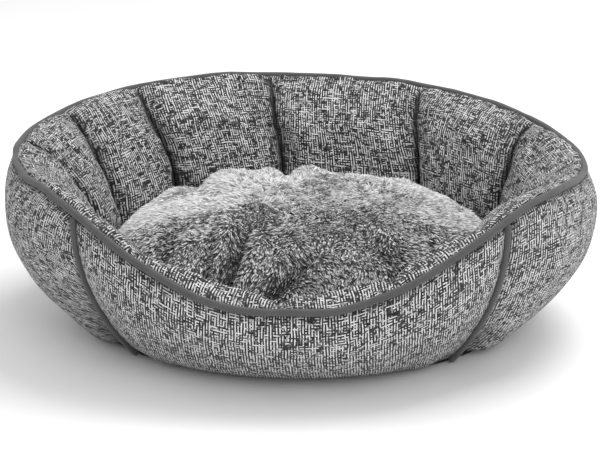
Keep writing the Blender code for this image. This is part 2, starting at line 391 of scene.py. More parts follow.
@dataclass(frozen=True)
class PlushFinish:
    """Short faux-fur fibre: dark at the root, pale at the tip, with painted light that is palest on the top
    and back of the cushion and weaker to the right.
    """

    name: str = "plush"
    # Shaded and lit copies of the pile's colours, mixed by the painted light share.
    painted_shaded_stops: tuple[tuple[float, float], ...] = ((0.18, 0.010), (0.40, 0.065), (0.58, 0.31), (0.76, 0.84))
    painted_lit_stops: tuple[tuple[float, float], ...] = ((0.05, 0.18), (0.35, 0.47), (0.60, 0.70), (0.85, 0.86))

    def build(self) -> bpy.types.Material:
        """Read the place along the tuft, its own tone, the painted light and the painted crease shade from
        the pile.

        Returns:
            The material.
        """
        bench = Bench(self.name)
        reach = bench.add("ShaderNodeAttribute", {"attribute_name": "reach"}, out="Fac")
        own = bench.add("ShaderNodeAttribute", {"attribute_name": "own_tone"}, out="Fac")
        nap = bench.add("ShaderNodeAttribute", {"attribute_name": "nap"}, out="Fac")
        place = bench.add("ShaderNodeTexCoord", out="Object")
        cloud = bench.noise(place, 26.0, 3.0)
        hollow = bench.add("ShaderNodeAttribute", {"attribute_name": "hollow"}, out="Fac")
        # Painted shade: the tone is darker in the cushion's creases.
        tone = (reach * 0.60 + (own - 0.5) * 0.74 + (cloud - 0.5) * 0.22 + 0.16 - hollow * 0.42).clamp()
        # Painted light: the lit stops where the pile's painted light share is 1, the shaded stops where it is
        # 0.
        sockets = {0: nap, 6: bench.ramp(tone, self.painted_shaded_stops), 7: bench.ramp(tone, self.painted_lit_stops)}
        colour = bench.add("ShaderNodeMix", {"data_type": "RGBA"}, sockets, out=2)
        return bench.finish(colour, 0.62, sheen=0.3, specular=0.25)


@dataclass(frozen=True)
class PlushGroundFinish:
    """The knitted ground that the pile grows from, and the shorter fibres between the tufts."""

    name: str = "plush_ground"
    grey: float = 0.13

    def build(self) -> bpy.types.Material:
        """Fine fibrous streaks over a mid grey.

        Returns:
            The material.
        """
        bench = Bench(self.name)
        place = bench.add("ShaderNodeTexCoord", out="Object")
        across, along, up = bench.split(place)
        fibre = bench.noise(bench.pair(across * 900.0, along * 260.0, up * 260.0), 1.0, 3.0, 0.7)
        cloud = bench.noise(place, 60.0, 2.0)
        tone = fibre * 0.75 + cloud * 0.25
        stops = [(0.3, self.grey * 0.45), (0.5, self.grey), (0.72, self.grey * 2.1)]
        return bench.finish(bench.ramp(tone, stops), 0.95, fibre, 0.0012, sheen=0.3, specular=0.1)


@dataclass(frozen=True)
class BrushedFinish:
    """Smooth brushed cloth under the loose cushion."""

    name: str = "cushion_backing"
    grey: float = 0.20

    def build(self) -> bpy.types.Material:
        """A soft felted surface with short random fibres.

        Returns:
            The material.
        """
        bench = Bench(self.name)
        place = bench.add("ShaderNodeTexCoord", out="Object")
        felt = bench.noise(place, 1400.0, 4.0, 0.65)
        cloud = bench.noise(place, 35.0, 3.0)
        tone = felt * 0.6 + cloud * 0.4
        stops = [(0.3, self.grey * 0.7), (0.5, self.grey), (0.7, self.grey * 1.3)]
        return bench.finish(bench.ramp(tone, stops), 0.9, felt, 0.0003, sheen=0.25, specular=0.15)


@dataclass(frozen=True)
class NonSlipFinish:
    """Black non-woven cloth under the base, with pressed diamond bonds."""

    name: str = "non_slip_cloth"
    grey: float = 0.030
    bond: float = 0.0016

    def build(self) -> bpy.types.Material:
        """Matted fibres pressed flat in a fine diamond grid.

        Returns:
            The material.
        """
        bench = Bench(self.name)
        place = bench.add("ShaderNodeTexCoord", out="Object")
        across, along, _ = bench.split(place)
        grid = ((across + along) * (0.7 / self.bond)).hump() * ((across - along) * (0.7 / self.bond)).hump()
        fibre = bench.noise(place, 1800.0, 4.0, 0.7)
        tone = fibre * 0.6 + grid * 0.4
        stops = [(0.2, self.grey * 0.6), (0.5, self.grey), (0.8, self.grey * 2.0)]
        return bench.finish(bench.ramp(tone, stops), 0.85, fibre + grid, 0.0002, specular=0.25)


@dataclass(frozen=True)
class RubberFinish:
    """Soft black rubber of the grip dots."""

    name: str = "grip_rubber"
    grey: float = 0.018

    def build(self) -> bpy.types.Material:
        """Slightly dusty rubber.

        Returns:
            The material.
        """
        bench = Bench(self.name)
        place = bench.add("ShaderNodeTexCoord", out="Object")
        dust = bench.noise(place, 300.0, 3.0)
        stops = [(0.3, self.grey), (0.7, self.grey * 1.8)]
        return bench.finish(bench.ramp(dust, stops), dust * 0.3 + 0.4, specular=0.4)


@dataclass(frozen=True)
class ThreadFinish:
    """Twisted sewing thread."""

    name: str = "sewing_thread"
    grey: float = 0.10

    def build(self) -> bpy.types.Material:
        """Dark polyester thread with a faint twist.

        Returns:
            The material.
        """
        bench = Bench(self.name)
        place = bench.add("ShaderNodeTexCoord", out="Object")
        twist = bench.noise(place, 2500.0, 1.0)
        stops = [(0.3, self.grey * 0.6), (0.7, self.grey * 1.4)]
        return bench.finish(bench.ramp(twist, stops), 0.6, twist, 0.0001, specular=0.35)


@dataclass(frozen=True)
class FloorFinish:
    """Plain pale studio floor."""

    name: str = "studio_floor"
    grey: float = 0.93

    def build(self) -> bpy.types.Material:
        """An even matt white."""
        bench = Bench(self.name)
        return bench.finish((self.grey, self.grey, self.grey, 1.0), 0.9, specular=0.1)


# ---------------------------------------------------------------- the bed's form


def ease(value: np.ndarray, low: float, high: float) -> np.ndarray:
    """A smooth step.

    Args:
        value: Where to read it.
        low: Where it leaves 0.
        high: Where it reaches 1.

    Returns:
        The step's value.
    """
    share = np.clip((np.asarray(value, float) - low) / (high - low), 0.0, 1.0)
    return share * share * (3.0 - 2.0 * share)


def blend(low: Any, high: Any, share: Any) -> Any:
    """The value a share of the way from low to high."""
    return low + (high - low) * share


def waves(places: np.ndarray, length: float, seed: int, count: int = 14) -> np.ndarray:
    """Smooth repeatable unevenness between about -1 and 1.

    Args:
        places: Points, one row each.
        length: Typical distance between two swells, in metres.
        seed: Chooses one pattern.
        count: Number of plane waves that are summed.

    Returns:
        One value for each point.
    """
    rng = np.random.default_rng(seed)
    total = np.zeros(len(places))
    for _ in range(count):
        heading = rng.normal(size=places.shape[1])
        heading /= np.linalg.norm(heading)
        number = math.tau / (length * rng.uniform(0.7, 1.6))
        total += np.sin(places @ heading * number + rng.uniform(0.0, math.tau))
    return total / math.sqrt(count) * 0.8


@dataclass(frozen=True)
class BedForm:
    """The bed's shape: plan oval, rim line, and the wall's section at any angle from the front."""

    half_width: float = 0.300
    half_depth: float = 0.254
    centre_y: float = -0.0025
    front_height: float = 0.100
    side_height: float = 0.186
    back_height: float = 0.214
    dip: tuple[float, float] = (math.radians(5.0), math.radians(58.0))
    back_rise: tuple[float, float] = (math.radians(80.0), math.radians(165.0))
    lean: float = 0.0075
    lean_span: tuple[float, float] = (math.radians(62.0), math.radians(88.0))
    side_tuck: float = 0.080
    front_tuck: float = 0.0775
    side_bulge: float = 0.020
    front_bulge: float = 0.006
    seam_angle: float = math.radians(44.0)
    seam_draw: float = 0.0155
    seam_draw_reach: float = math.radians(11.0)
    wall_depth: float = 0.078
    left_swell: float = 0.014
    left_swell_angle: float = math.radians(-98.0)
    left_swell_reach: float = math.radians(30.0)
    foot_width: float = 0.009
    pinch: float = 0.026
    rim_puff: tuple[float, float, float] = (0.036, 0.026, 0.019)
    belly_share: float = 0.42
    shoulder_share: float = 0.72
    piping_radius: float = 0.0036

    def front_share(self, angle: np.ndarray) -> np.ndarray:
        """1 along the low front, 0 at the sides and the back."""
        turn = np.abs(np.remainder(np.asarray(angle) + math.pi, math.tau) - math.pi)
        return 1.0 - ease(turn, *self.dip)

    def rim_height(self, angle: np.ndarray) -> np.ndarray:
        """Height of the rim line at an angle.

        Args:
            angle: Angle around the bed.

        Returns:
            Height in metres.
        """
        turn = np.abs(np.remainder(np.asarray(angle) + math.pi, math.tau) - math.pi)
        side = blend(self.side_height, self.back_height, ease(turn, *self.back_rise))
        lean = self.lean * np.sin(angle) * ease(turn, *self.lean_span)
        return blend(side, self.front_height, self.front_share(angle)) - lean

    def depth(self, angle: np.ndarray) -> np.ndarray:
        """How far the inner face's belly stands inside the rim line, more on the fuller left side."""
        away = np.remainder(np.asarray(angle) - self.left_swell_angle + math.pi, math.tau) - math.pi
        return self.wall_depth + self.left_swell * np.exp(-((away / self.left_swell_reach) ** 2))

    def tuck(self, angle: np.ndarray) -> np.ndarray:
        """How far the foot of the outer face stands inside the rim line."""
        return blend(self.side_tuck, self.front_tuck, self.front_share(angle))

    def place(self, angle: np.ndarray, offset: np.ndarray, height: np.ndarray) -> np.ndarray:
        """Points in the row frame.

        Args:
            angle: Angle around the bed from the middle of the front, towards +X.
            offset: Distance outside the rim line in plan.
            height: Height over the floor.

        Returns:
            An array of points, last axis x, y, z.
        """
        angle, offset, height = np.broadcast_arrays(angle, offset, height)
        sine, cosine = np.sin(angle), -np.cos(angle)
        normal_x, normal_y = sine / self.half_width, cosine / self.half_depth
        length = np.hypot(normal_x, normal_y)
        x = self.half_width * sine + offset * normal_x / length
        y = self.centre_y + self.half_depth * cosine + offset * normal_y / length
        return np.stack([x, y, height], axis=-1)

    def run_per_turn(self, angle: np.ndarray, offset: np.ndarray) -> np.ndarray:
        """Length of the plan oval, offset sideways, for each radian of angle."""
        speed = np.hypot(self.half_width * np.cos(angle), self.half_depth * np.sin(angle))
        return speed + offset * self.half_width * self.half_depth / speed**2

    def outer_offset(self, angle: np.ndarray, share: np.ndarray) -> np.ndarray:
        """Offset of the outer face at a share of the rim's height.

        Args:
            angle: Angle around the bed.
            share: 0 at the floor, 1 at the rim.

        Returns:
            Distance outside the rim line.
        """
        turn = np.abs(np.remainder(np.asarray(angle) + math.pi, math.tau) - math.pi)
        drawn = self.seam_draw * np.exp(-(((turn - self.seam_angle) / self.seam_draw_reach) ** 2))
        bulge = blend(self.side_bulge, self.front_bulge, self.front_share(angle)) - drawn
        return bulge * np.sin(math.pi * share) - self.tuck(angle) * (1.0 - share) ** 2

    def inner_section(
        self, angle: np.ndarray, puff: np.ndarray, station: np.ndarray
    ) -> tuple[np.ndarray, np.ndarray]:
        """The padded inner face.

        Args:
            angle: Angle around the bed.
            puff: 1 in the middle of a pocket, 0 on its seams.
            station: 0 at the rim, 1 at the fullest belly, 2 at the foot.

        Returns:
            Offset and height.
        """
        angle, puff, station = np.broadcast_arrays(angle, puff, station)
        height = self.rim_height(angle)
        belly = self.depth(angle) - self.pinch * (1.0 - puff)
        foot = self.tuck(angle) + self.foot_width
        turn = np.abs(np.remainder(angle + math.pi, math.tau) - math.pi)
        front, side, back = self.rim_puff
        puff_top = blend(blend(side, back, ease(turn, *self.back_rise)), front, self.front_share(angle))
        puff_top = puff_top * blend(0.1, 1.0, puff)
        upper = (
            (-0.5 * self.piping_radius + 0.0 * height, height - 0.2 * self.piping_radius),
            (-0.020 - 0.004 * puff, height + puff_top),
            (-belly - 0.004, height * self.shoulder_share),
            (-belly, height * self.belly_share),
        )
        lower = (
            upper[3],
            (-belly - 0.001, height * 0.28),
            (-foot + 0.001, height * 0.10),
            (-foot, 0.0035 + 0.0 * height),
        )
        rise = np.clip(station, 0.0, 1.0)
        drop = np.clip(station - 1.0, 0.0, 1.0)
        under = station > 1.0
        offset = np.where(under, self._cubic(lower, drop, 0), self._cubic(upper, rise, 0))
        level = np.where(under, self._cubic(lower, drop, 1), self._cubic(upper, rise, 1))
        return offset, level

    @staticmethod
    def _cubic(controls: Sequence[tuple], share: np.ndarray, axis: int) -> np.ndarray:
        """One coordinate of a cubic curve.

        Args:
            controls: Its four control points.
            share: How far along it.
            axis: Which coordinate.

        Returns:
            That coordinate.
        """
        rest = 1.0 - share
        first, second, third, last = (point[axis] for point in controls)
        return (
            rest**3 * first + 3.0 * share * rest**2 * second + 3.0 * share**2 * rest * third + share**3 * last
        )


# ---------------------------------------------------------------- mesh and cloth benches


def grid_faces(rows: int, columns: int, start: int = 0) -> list[tuple[int, int, int, int]]:
    """Four-sided faces of a grid whose points run row by row.

    Args:
        rows: Number of rows of points.
        columns: Number of points in a row.
        start: Number of the grid's first point.

    Returns:
        The faces' point numbers.
    """
    faces = []
    for row in range(rows - 1):
        for column in range(columns - 1):
            here = start + row * columns + column
            faces.append((here, here + 1, here + columns + 1, here + columns))
    return faces


def new_mesh(
    name: str,
    points: np.ndarray,
    faces: Sequence[Sequence[int]],
    cloth: Optional[np.ndarray] = None,
    mended: bool = True,
) -> bpy.types.Object:
    """An object at the origin with its place in its mesh.

    Args:
        name: The piece's name.
        points: Its points in the row frame.
        faces: Its faces.
        cloth: UV place of each point, in metres, for the weave.
        mended: Whether to turn all faces outwards.

    Returns:
        The linked object, shaded smooth.
    """
    mesh = bpy.data.meshes.new(name)
    mesh.from_pydata(np.asarray(points, float).tolist(), [], [tuple(face) for face in faces])
    if cloth is not None:
        layer = mesh.uv_layers.new(name="cloth")
        corners = np.zeros(len(mesh.loops), np.int32)
        mesh.loops.foreach_get("vertex_index", corners)
        layer.data.foreach_set("uv", np.asarray(cloth, np.float32)[corners].ravel())
    if mended:
        work = bmesh.new()
        work.from_mesh(mesh)
        bmesh.ops.recalc_face_normals(work, faces=work.faces)
        work.to_mesh(mesh)
        work.free()
    mesh.shade_smooth()
    piece = bpy.data.objects.new(name, mesh)
    bpy.context.scene.collection.objects.link(piece)
    return piece


def shade_folds(piece: bpy.types.Object, shade: np.ndarray) -> None:
    """Store the painted shade of each point in folds and seams and along piping and hems, from 0 in the open
    to 1.

    Args:
        piece: The piece.
        shade: Painted shade of its first points; the rest lie in the open.
    """
    depth = np.zeros(len(piece.data.vertices), np.float32)
    depth[: len(shade)] = np.clip(shade, 0.0, 1.0)
    piece.data.attributes.new("fold_shade", "FLOAT", "POINT").data.foreach_set("value", depth)


def dress(piece: bpy.types.Object, material: bpy.types.Material) -> None:
    """Give a piece one material."""
    piece.data.materials.clear()
    piece.data.materials.append(material)


def smooth_over(piece: bpy.types.Object, levels: int = 1) -> None:
    """Finish a piece with a Subdivision Surface whose view and render levels agree.

    Args:
        piece: The piece.
        levels: Subdivisions.
    """
    finer = piece.modifiers.new("finer", "SUBSURF")
    finer.levels = levels
    finer.render_levels = levels
    finer.boundary_smooth = "PRESERVE_CORNERS"


@dataclass(frozen=True)
class ClothBench:
    """Lets cloth settle under the pressure of its filling, held at its seams."""

    pressure: float = 4.0
    growth: float = 0.02
    stiffness: float = 20.0
    bending: float = 0.4
    frames: int = 20
    cap: float = 0.008

    def settle(
        self, points: np.ndarray, faces: Sequence[Sequence[int]], held: np.ndarray
    ) -> np.ndarray:
        """Run the cloth and read where its points end.

        Args:
            points: The cloth's points before it settles.
            faces: Its faces, turned out.
            held: True for the points on seams, which stay.

        Returns:
            The settled points, none further than the cap from its start.
        """
        body = new_mesh("settling_cloth", points, faces, mended=False)
        group = body.vertex_groups.new(name="held")
        group.add([int(i) for i in np.nonzero(held)[0]], 1.0, "REPLACE")
        cloth = body.modifiers.new("cloth", "CLOTH")
        options = cloth.settings
        options.quality = 5
        options.mass = 0.3
        options.tension_stiffness = self.stiffness
        options.compression_stiffness = self.stiffness
        options.shear_stiffness = self.stiffness * 0.5
        options.bending_stiffness = self.bending
        options.tension_damping = 8.0
        options.compression_damping = 8.0
        options.shear_damping = 8.0
        options.air_damping = 3.0
        options.use_pressure = True
        options.uniform_pressure_force = self.pressure
        options.shrink_min = -self.growth
        options.vertex_group_mass = "held"
        options.pin_stiffness = 1.0
        options.effector_weights.gravity = 0.0
        cloth.collision_settings.use_collision = False
        cloth.collision_settings.use_self_collision = False
        cloth.point_cache.frame_start = 1
        cloth.point_cache.frame_end = self.frames
        scene = bpy.context.scene
        for step in range(1, self.frames + 1):
            scene.frame_set(step)
        graph = bpy.context.evaluated_depsgraph_get()
        settled = np.zeros(len(points) * 3)
        body.evaluated_get(graph).data.vertices.foreach_get("co", settled)
        settled = settled.reshape(-1, 3)
        scene.frame_set(1)
        bpy.data.objects.remove(body)
        move = settled - points
        reach = np.linalg.norm(move, axis=1, keepdims=True)
        held_back = self.cap * np.tanh(reach / self.cap) / np.maximum(reach, 1e-9)
        return points + move * held_back


# ---------------------------------------------------------------- the inner wall


@dataclass
class PocketWall:
    """The inner wall: padded linen pockets, each closed over its fibre and pulled in at its seams."""

    form: BedForm
    linen: bpy.types.Material
    seams: tuple[float, ...] = (-171.5, -138.5, -113.5, -90, -60, -30, -1, 21, 40, 79, 118.5, 152)
    top_sway: tuple[float, ...] = (1.0, 2.0, 0.5, 0, 0, 0, 0, 0, 0, 0, 1.0, 1.0)
    low_sway: tuple[float, ...] = (-1.5, -4.0, 0.0, 0, 0, 0, 0, 0, 0, 0, -3.0, -4.5)
    # Width of the painted dark line at each seam, strength and reach of the broader painted shade beside it,
    # and strength and reach of the painted shade under the rim piping.
    seam_shade: float = 0.0019
    hollow_shade: float = 0.30
    hollow_reach: float = 0.015
    rim_shade: float = 0.9
    rim_reach: float = 0.0035
    fullness: float = 3.6
    columns_per_turn: float = 64.0
    upper_rows: int = 26
    lower_rows: int = 10
    back_rows: int = 6
    back_inset: float = 0.004
    seam_clearance: float = 0.0002
    bench: ClothBench = field(default_factory=lambda: ClothBench(pressure=5.0, growth=0.035, cap=0.006))

    def spans(self) -> list[tuple[float, float]]:
        """Start and end angle of each pocket."""
        starts = [math.radians(seam) for seam in self.seams]
        ends = starts[1:] + [starts[0] + math.tau]
        return list(zip(starts, ends))

    def stations(self) -> np.ndarray:
        """Places of the rows from the rim to the foot, closer together near the rim."""
        upper = np.linspace(0.0, 1.0, self.upper_rows) ** 1.25
        lower = np.linspace(1.0, 2.0, self.lower_rows + 1)[1:]
        return np.concatenate([upper, lower])

    def front_grid(
        self, start: float, end: float, number: int
    ) -> tuple[np.ndarray, np.ndarray, np.ndarray, int]:
        """The puffed front of one pocket.

        Args:
            start: Angle of its first seam.
            end: Angle of its second seam.
            number: The pocket's number, which seeds its creases.

        Returns:
            Points, UV places in metres, painted shade at the seams and under the rim, and the number of
            columns.
        """
        columns = max(16, round((end - start) * self.columns_per_turn))
        side = np.sin(np.linspace(-0.5, 0.5, columns) * math.pi * 0.96) / math.sin(0.48 * math.pi)
        rows = self.stations()
        angle = (start + end) / 2.0 + side * (end - start) / 2.0
        angles, stations = np.meshgrid(angle, rows)
        sides = np.broadcast_to(side, angles.shape)
        near = 1.0 - np.abs(sides)
        creases = self._creases(near, stations, sides, number)
        puff = (1.0 - np.abs(sides) ** self.fullness) ** 0.5 + creases
        puff[:, 0] = puff[:, -1] = 0.0
        offset, height = self.form.inner_section(angles, puff, stations)
        points = self.form.place(angles, offset, height)
        across = (angles - (start + end) / 2.0) * self.form.run_per_turn(angles, offset)
        steps = np.linalg.norm(np.diff(points, axis=0), axis=2)
        down = np.vstack([np.zeros(columns), np.cumsum(steps, axis=0)]).mean(axis=1)
        down = np.broadcast_to(down[:, None], angles.shape)
        shift = number * 0.217
        cloth = np.stack([across + shift, -down + shift * 1.7], axis=-1)
        # Painted shade: a dark line at each seam, a broader darkening beside it, and a dark line under the
        # rim piping.
        from_seam = near * (end - start) / 2.0 * self.form.run_per_turn(angles, offset)
        broad = self.hollow_shade * np.exp(-((from_seam / self.hollow_reach) ** 2))
        shade = np.exp(-((from_seam / self.seam_shade) ** 2)) + broad
        from_rim = -cloth[..., 1] + shift * 1.7
        shade = shade * ease(from_rim, 0.004, 0.022)
        shade = shade + self.rim_shade * np.exp(-((from_rim / self.rim_reach) ** 2))
        return points.reshape(-1, 3), cloth.reshape(-1, 2), shade.ravel(), columns

    def swayed(self, points: np.ndarray) -> np.ndarray:
        """The same points with every seam leant a little sideways, as such seams are sewn.

        Args:
            points: Points of a pocket.

        Returns:
            The points, turned about the bed's middle by an amount that depends on angle and height.
        """
        form = self.form
        along_x = points[:, 0] / form.half_width
        along_y = (points[:, 1] - form.centre_y) / form.half_depth
        angle, reach = np.arctan2(along_x, -along_y), np.hypot(along_x, along_y)
        seams = np.radians(self.seams)
        share = ease(points[:, 2] / form.rim_height(angle), 0.45, 0.95)
        top = np.interp(angle, seams, np.radians(self.top_sway), period=math.tau)
        low = np.interp(angle, seams, np.radians(self.low_sway), period=math.tau)
        turned = angle + blend(low, top, share)
        moved = points.copy()
        moved[:, 0] = form.half_width * reach * np.sin(turned)
        moved[:, 1] = form.centre_y - form.half_depth * reach * np.cos(turned)
        return moved

    @staticmethod
    def _creases(near: np.ndarray, stations: np.ndarray, sides: np.ndarray, number: int) -> np.ndarray:
        """Short gathers that run in from the seams and down from the rim.

        Args:
            near: 0 on a seam, 1 in the middle.
            stations: Rows from the rim to the foot.
            sides: -1 at one seam, 1 at the other.
            number: Seeds the gathers.

        Returns:
            What to add to the puff.
        """
        rng = np.random.default_rng(100 + number)
        total = np.zeros_like(near)
        for _ in range(9):
            at = rng.uniform(0.1, 1.6)
            slant = rng.uniform(-0.5, 0.5)
            which = rng.choice((-1.0, 1.0))
            reach = rng.uniform(0.25, 0.6)
            width = rng.uniform(0.035, 0.07)
            from_seam = 1.0 - which * sides
            line = stations - at - slant * from_seam
            fade = np.exp(-((from_seam / reach) ** 2)) * np.minimum(near * 8.0, 1.0)
            total -= rng.uniform(0.05, 0.13) * np.exp(-((line / width) ** 2)) * fade
        for _ in range(6):
            at = rng.uniform(-0.85, 0.85)
            width = rng.uniform(0.03, 0.07)
            reach = rng.uniform(0.10, 0.25)
            notch = np.exp(-(((sides - at) / width) ** 2)) * np.exp(-((stations / reach) ** 2))
            total -= rng.uniform(0.08, 0.22) * notch
        return total

    def keep_apart(self, points: np.ndarray, start: float, end: float, columns: int) -> np.ndarray:
        """Hold a pocket's points on its own side of its two seam planes.

        Args:
            points: The settled points.
            start: Angle of the first seam.
            end: Angle of the second seam.
            columns: Number of points in a row.

        Returns:
            The points, moved off the planes where they crossed.
        """
        kept = points.reshape(-1, columns, 3).copy()
        for angle, direction in ((start, 1.0), (end, -1.0)):
            base = self.form.place(angle, 0.0, 0.0)
            outward = self.form.place(angle, 1.0, 0.0) - base
            along = np.array([-outward[1], outward[0], 0.0]) * direction
            distance = (kept - base) @ along
            clear = self.seam_clearance
            short = np.where((distance < clear) & (distance > -0.03), clear - distance, 0.0)
            kept += short[..., None] * along
        return kept.reshape(-1, 3)

    def close(
        self,
        name: str,
        front: np.ndarray,
        cloth: np.ndarray,
        shade: np.ndarray,
        columns: int,
        start: float,
        end: float,
    ) -> bpy.types.Object:
        """Close a pocket with a plain back and two flat ends.

        Args:
            name: The piece's name.
            front: Points of the settled front.
            cloth: Their UV places.
            shade: Their painted shade at the seams and under the rim.
            columns: Number of points in a row.
            start: Angle of the first seam.
            end: Angle of the second seam.

        Returns:
            The closed pocket.
        """
        rows = len(front) // columns
        angles = np.linspace(start, end, columns)
        back = []
        for share in np.linspace(0.97, 0.05, self.back_rows):
            offset = self.form.outer_offset(angles, share) - self.back_inset
            level = self.form.rim_height(angles) * share
            back.append(self.form.place(angles, offset, level))
        back = np.array(back)
        clear = self.seam_clearance
        for column, angle, direction in ((0, start, 1.0), (-1, end, -1.0)):
            base = self.form.place(angle, 0.0, 0.0)
            outward = self.form.place(angle, 1.0, 0.0) - base
            along = np.array([-outward[1], outward[0], 0.0]) * direction
            back[:, column] += clear * along
        count = len(front)
        points = self.swayed(np.vstack([front, back.reshape(-1, 3)]))
        uv = np.vstack([cloth, np.zeros((self.back_rows * columns, 2))])
        faces = [face[::-1] for face in grid_faces(rows, columns)]
        faces += grid_faces(self.back_rows, columns, count)
        last_front = (rows - 1) * columns
        last_back = count + (self.back_rows - 1) * columns
        for column in range(columns - 1):
            faces.append((column, column + 1, count + column + 1, count + column))
            faces.append(
                (last_back + column, last_back + column + 1, last_front + column + 1, last_front + column)
            )
        for column in (0, columns - 1):
            front_edge = [row * columns + column for row in range(rows)]
            back_edge = [count + row * columns + column for row in range(self.back_rows)]
            faces.append(front_edge + back_edge[::-1])
        piece = new_mesh(name, points, faces, uv)
        shade_folds(piece, shade)
        self._crease_ends(piece, count, columns, rows)
        return piece

    @staticmethod
    def _crease_ends(piece: bpy.types.Object, count: int, columns: int, rows: int) -> None:
        """Keep the edges between a pocket's front and its ends sharp when it is smoothed.

        Args:
            piece: The pocket.
            count: Number of points in its front.
            columns: Points in a row.
            rows: Rows in the front.
        """
        crease = piece.data.attributes.new("crease_edge", "FLOAT", "EDGE")
        pairs = np.zeros(len(piece.data.edges) * 2, np.int32)
        piece.data.edges.foreach_get("vertices", pairs)
        pairs = pairs.reshape(-1, 2)
        on_end = (pairs < count) & ((pairs % columns == 0) | (pairs % columns == columns - 1))
        same_column = (pairs[:, 0] % columns) == (pairs[:, 1] % columns)
        on_rim = (pairs < columns).all(axis=1)
        on_foot = ((pairs >= (rows - 1) * columns) & (pairs < count)).all(axis=1)
        sharp = (on_end.all(axis=1) & same_column) | on_rim | on_foot
        crease.data.foreach_set("value", sharp.astype(np.float32))

    def build(self) -> list[bpy.types.Object]:
        """Settle all the pockets' fronts together, then close and dress each pocket.

        Returns:
            The pockets.
        """
        parts, faces, held, start_at = [], [], [], 0
        for number, (start, end) in enumerate(self.spans(), start=1):
            points, cloth, shade, columns = self.front_grid(start, end, number)
            rows = len(points) // columns
            faces += [face[::-1] for face in grid_faces(rows, columns, start_at)]
            fixed = np.zeros((rows, columns), bool)
            fixed[0] = fixed[-1] = True
            fixed[:, 0] = fixed[:, -1] = True
            held.append(fixed.ravel())
            parts.append((number, start, end, points, cloth, shade, columns))
            start_at += len(points)
        together = np.vstack([part[3] for part in parts])
        settled = self.bench.settle(together, faces, np.concatenate(held))
        pieces, start_at = [], 0
        for number, start, end, points, cloth, shade, columns in parts:
            mine = settled[start_at : start_at + len(points)]
            start_at += len(points)
            mine = self.keep_apart(mine, start, end, columns)
            piece = self.close(f"wall_pocket_{number:02d}", mine, cloth, shade, columns, start, end)
            smooth_over(piece)
            dress(piece, self.linen)
            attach(piece, BED)
            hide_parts(f"inner_panel_{number:02d}", f"wall_fill_{number:02d}")
            pieces.append(piece)
        LOG.info("inner wall: %d padded pockets", len(pieces))
        return pieces


# ---------------------------------------------------------------- the outer wall


class OuterPanel(Enum):
    """The three cloth panels of the outer wall, by the CAD node that each stands for."""

    FRONT = "outer_front_panel"
    RIGHT = "outer_right_panel"
    LEFT = "outer_left_panel"


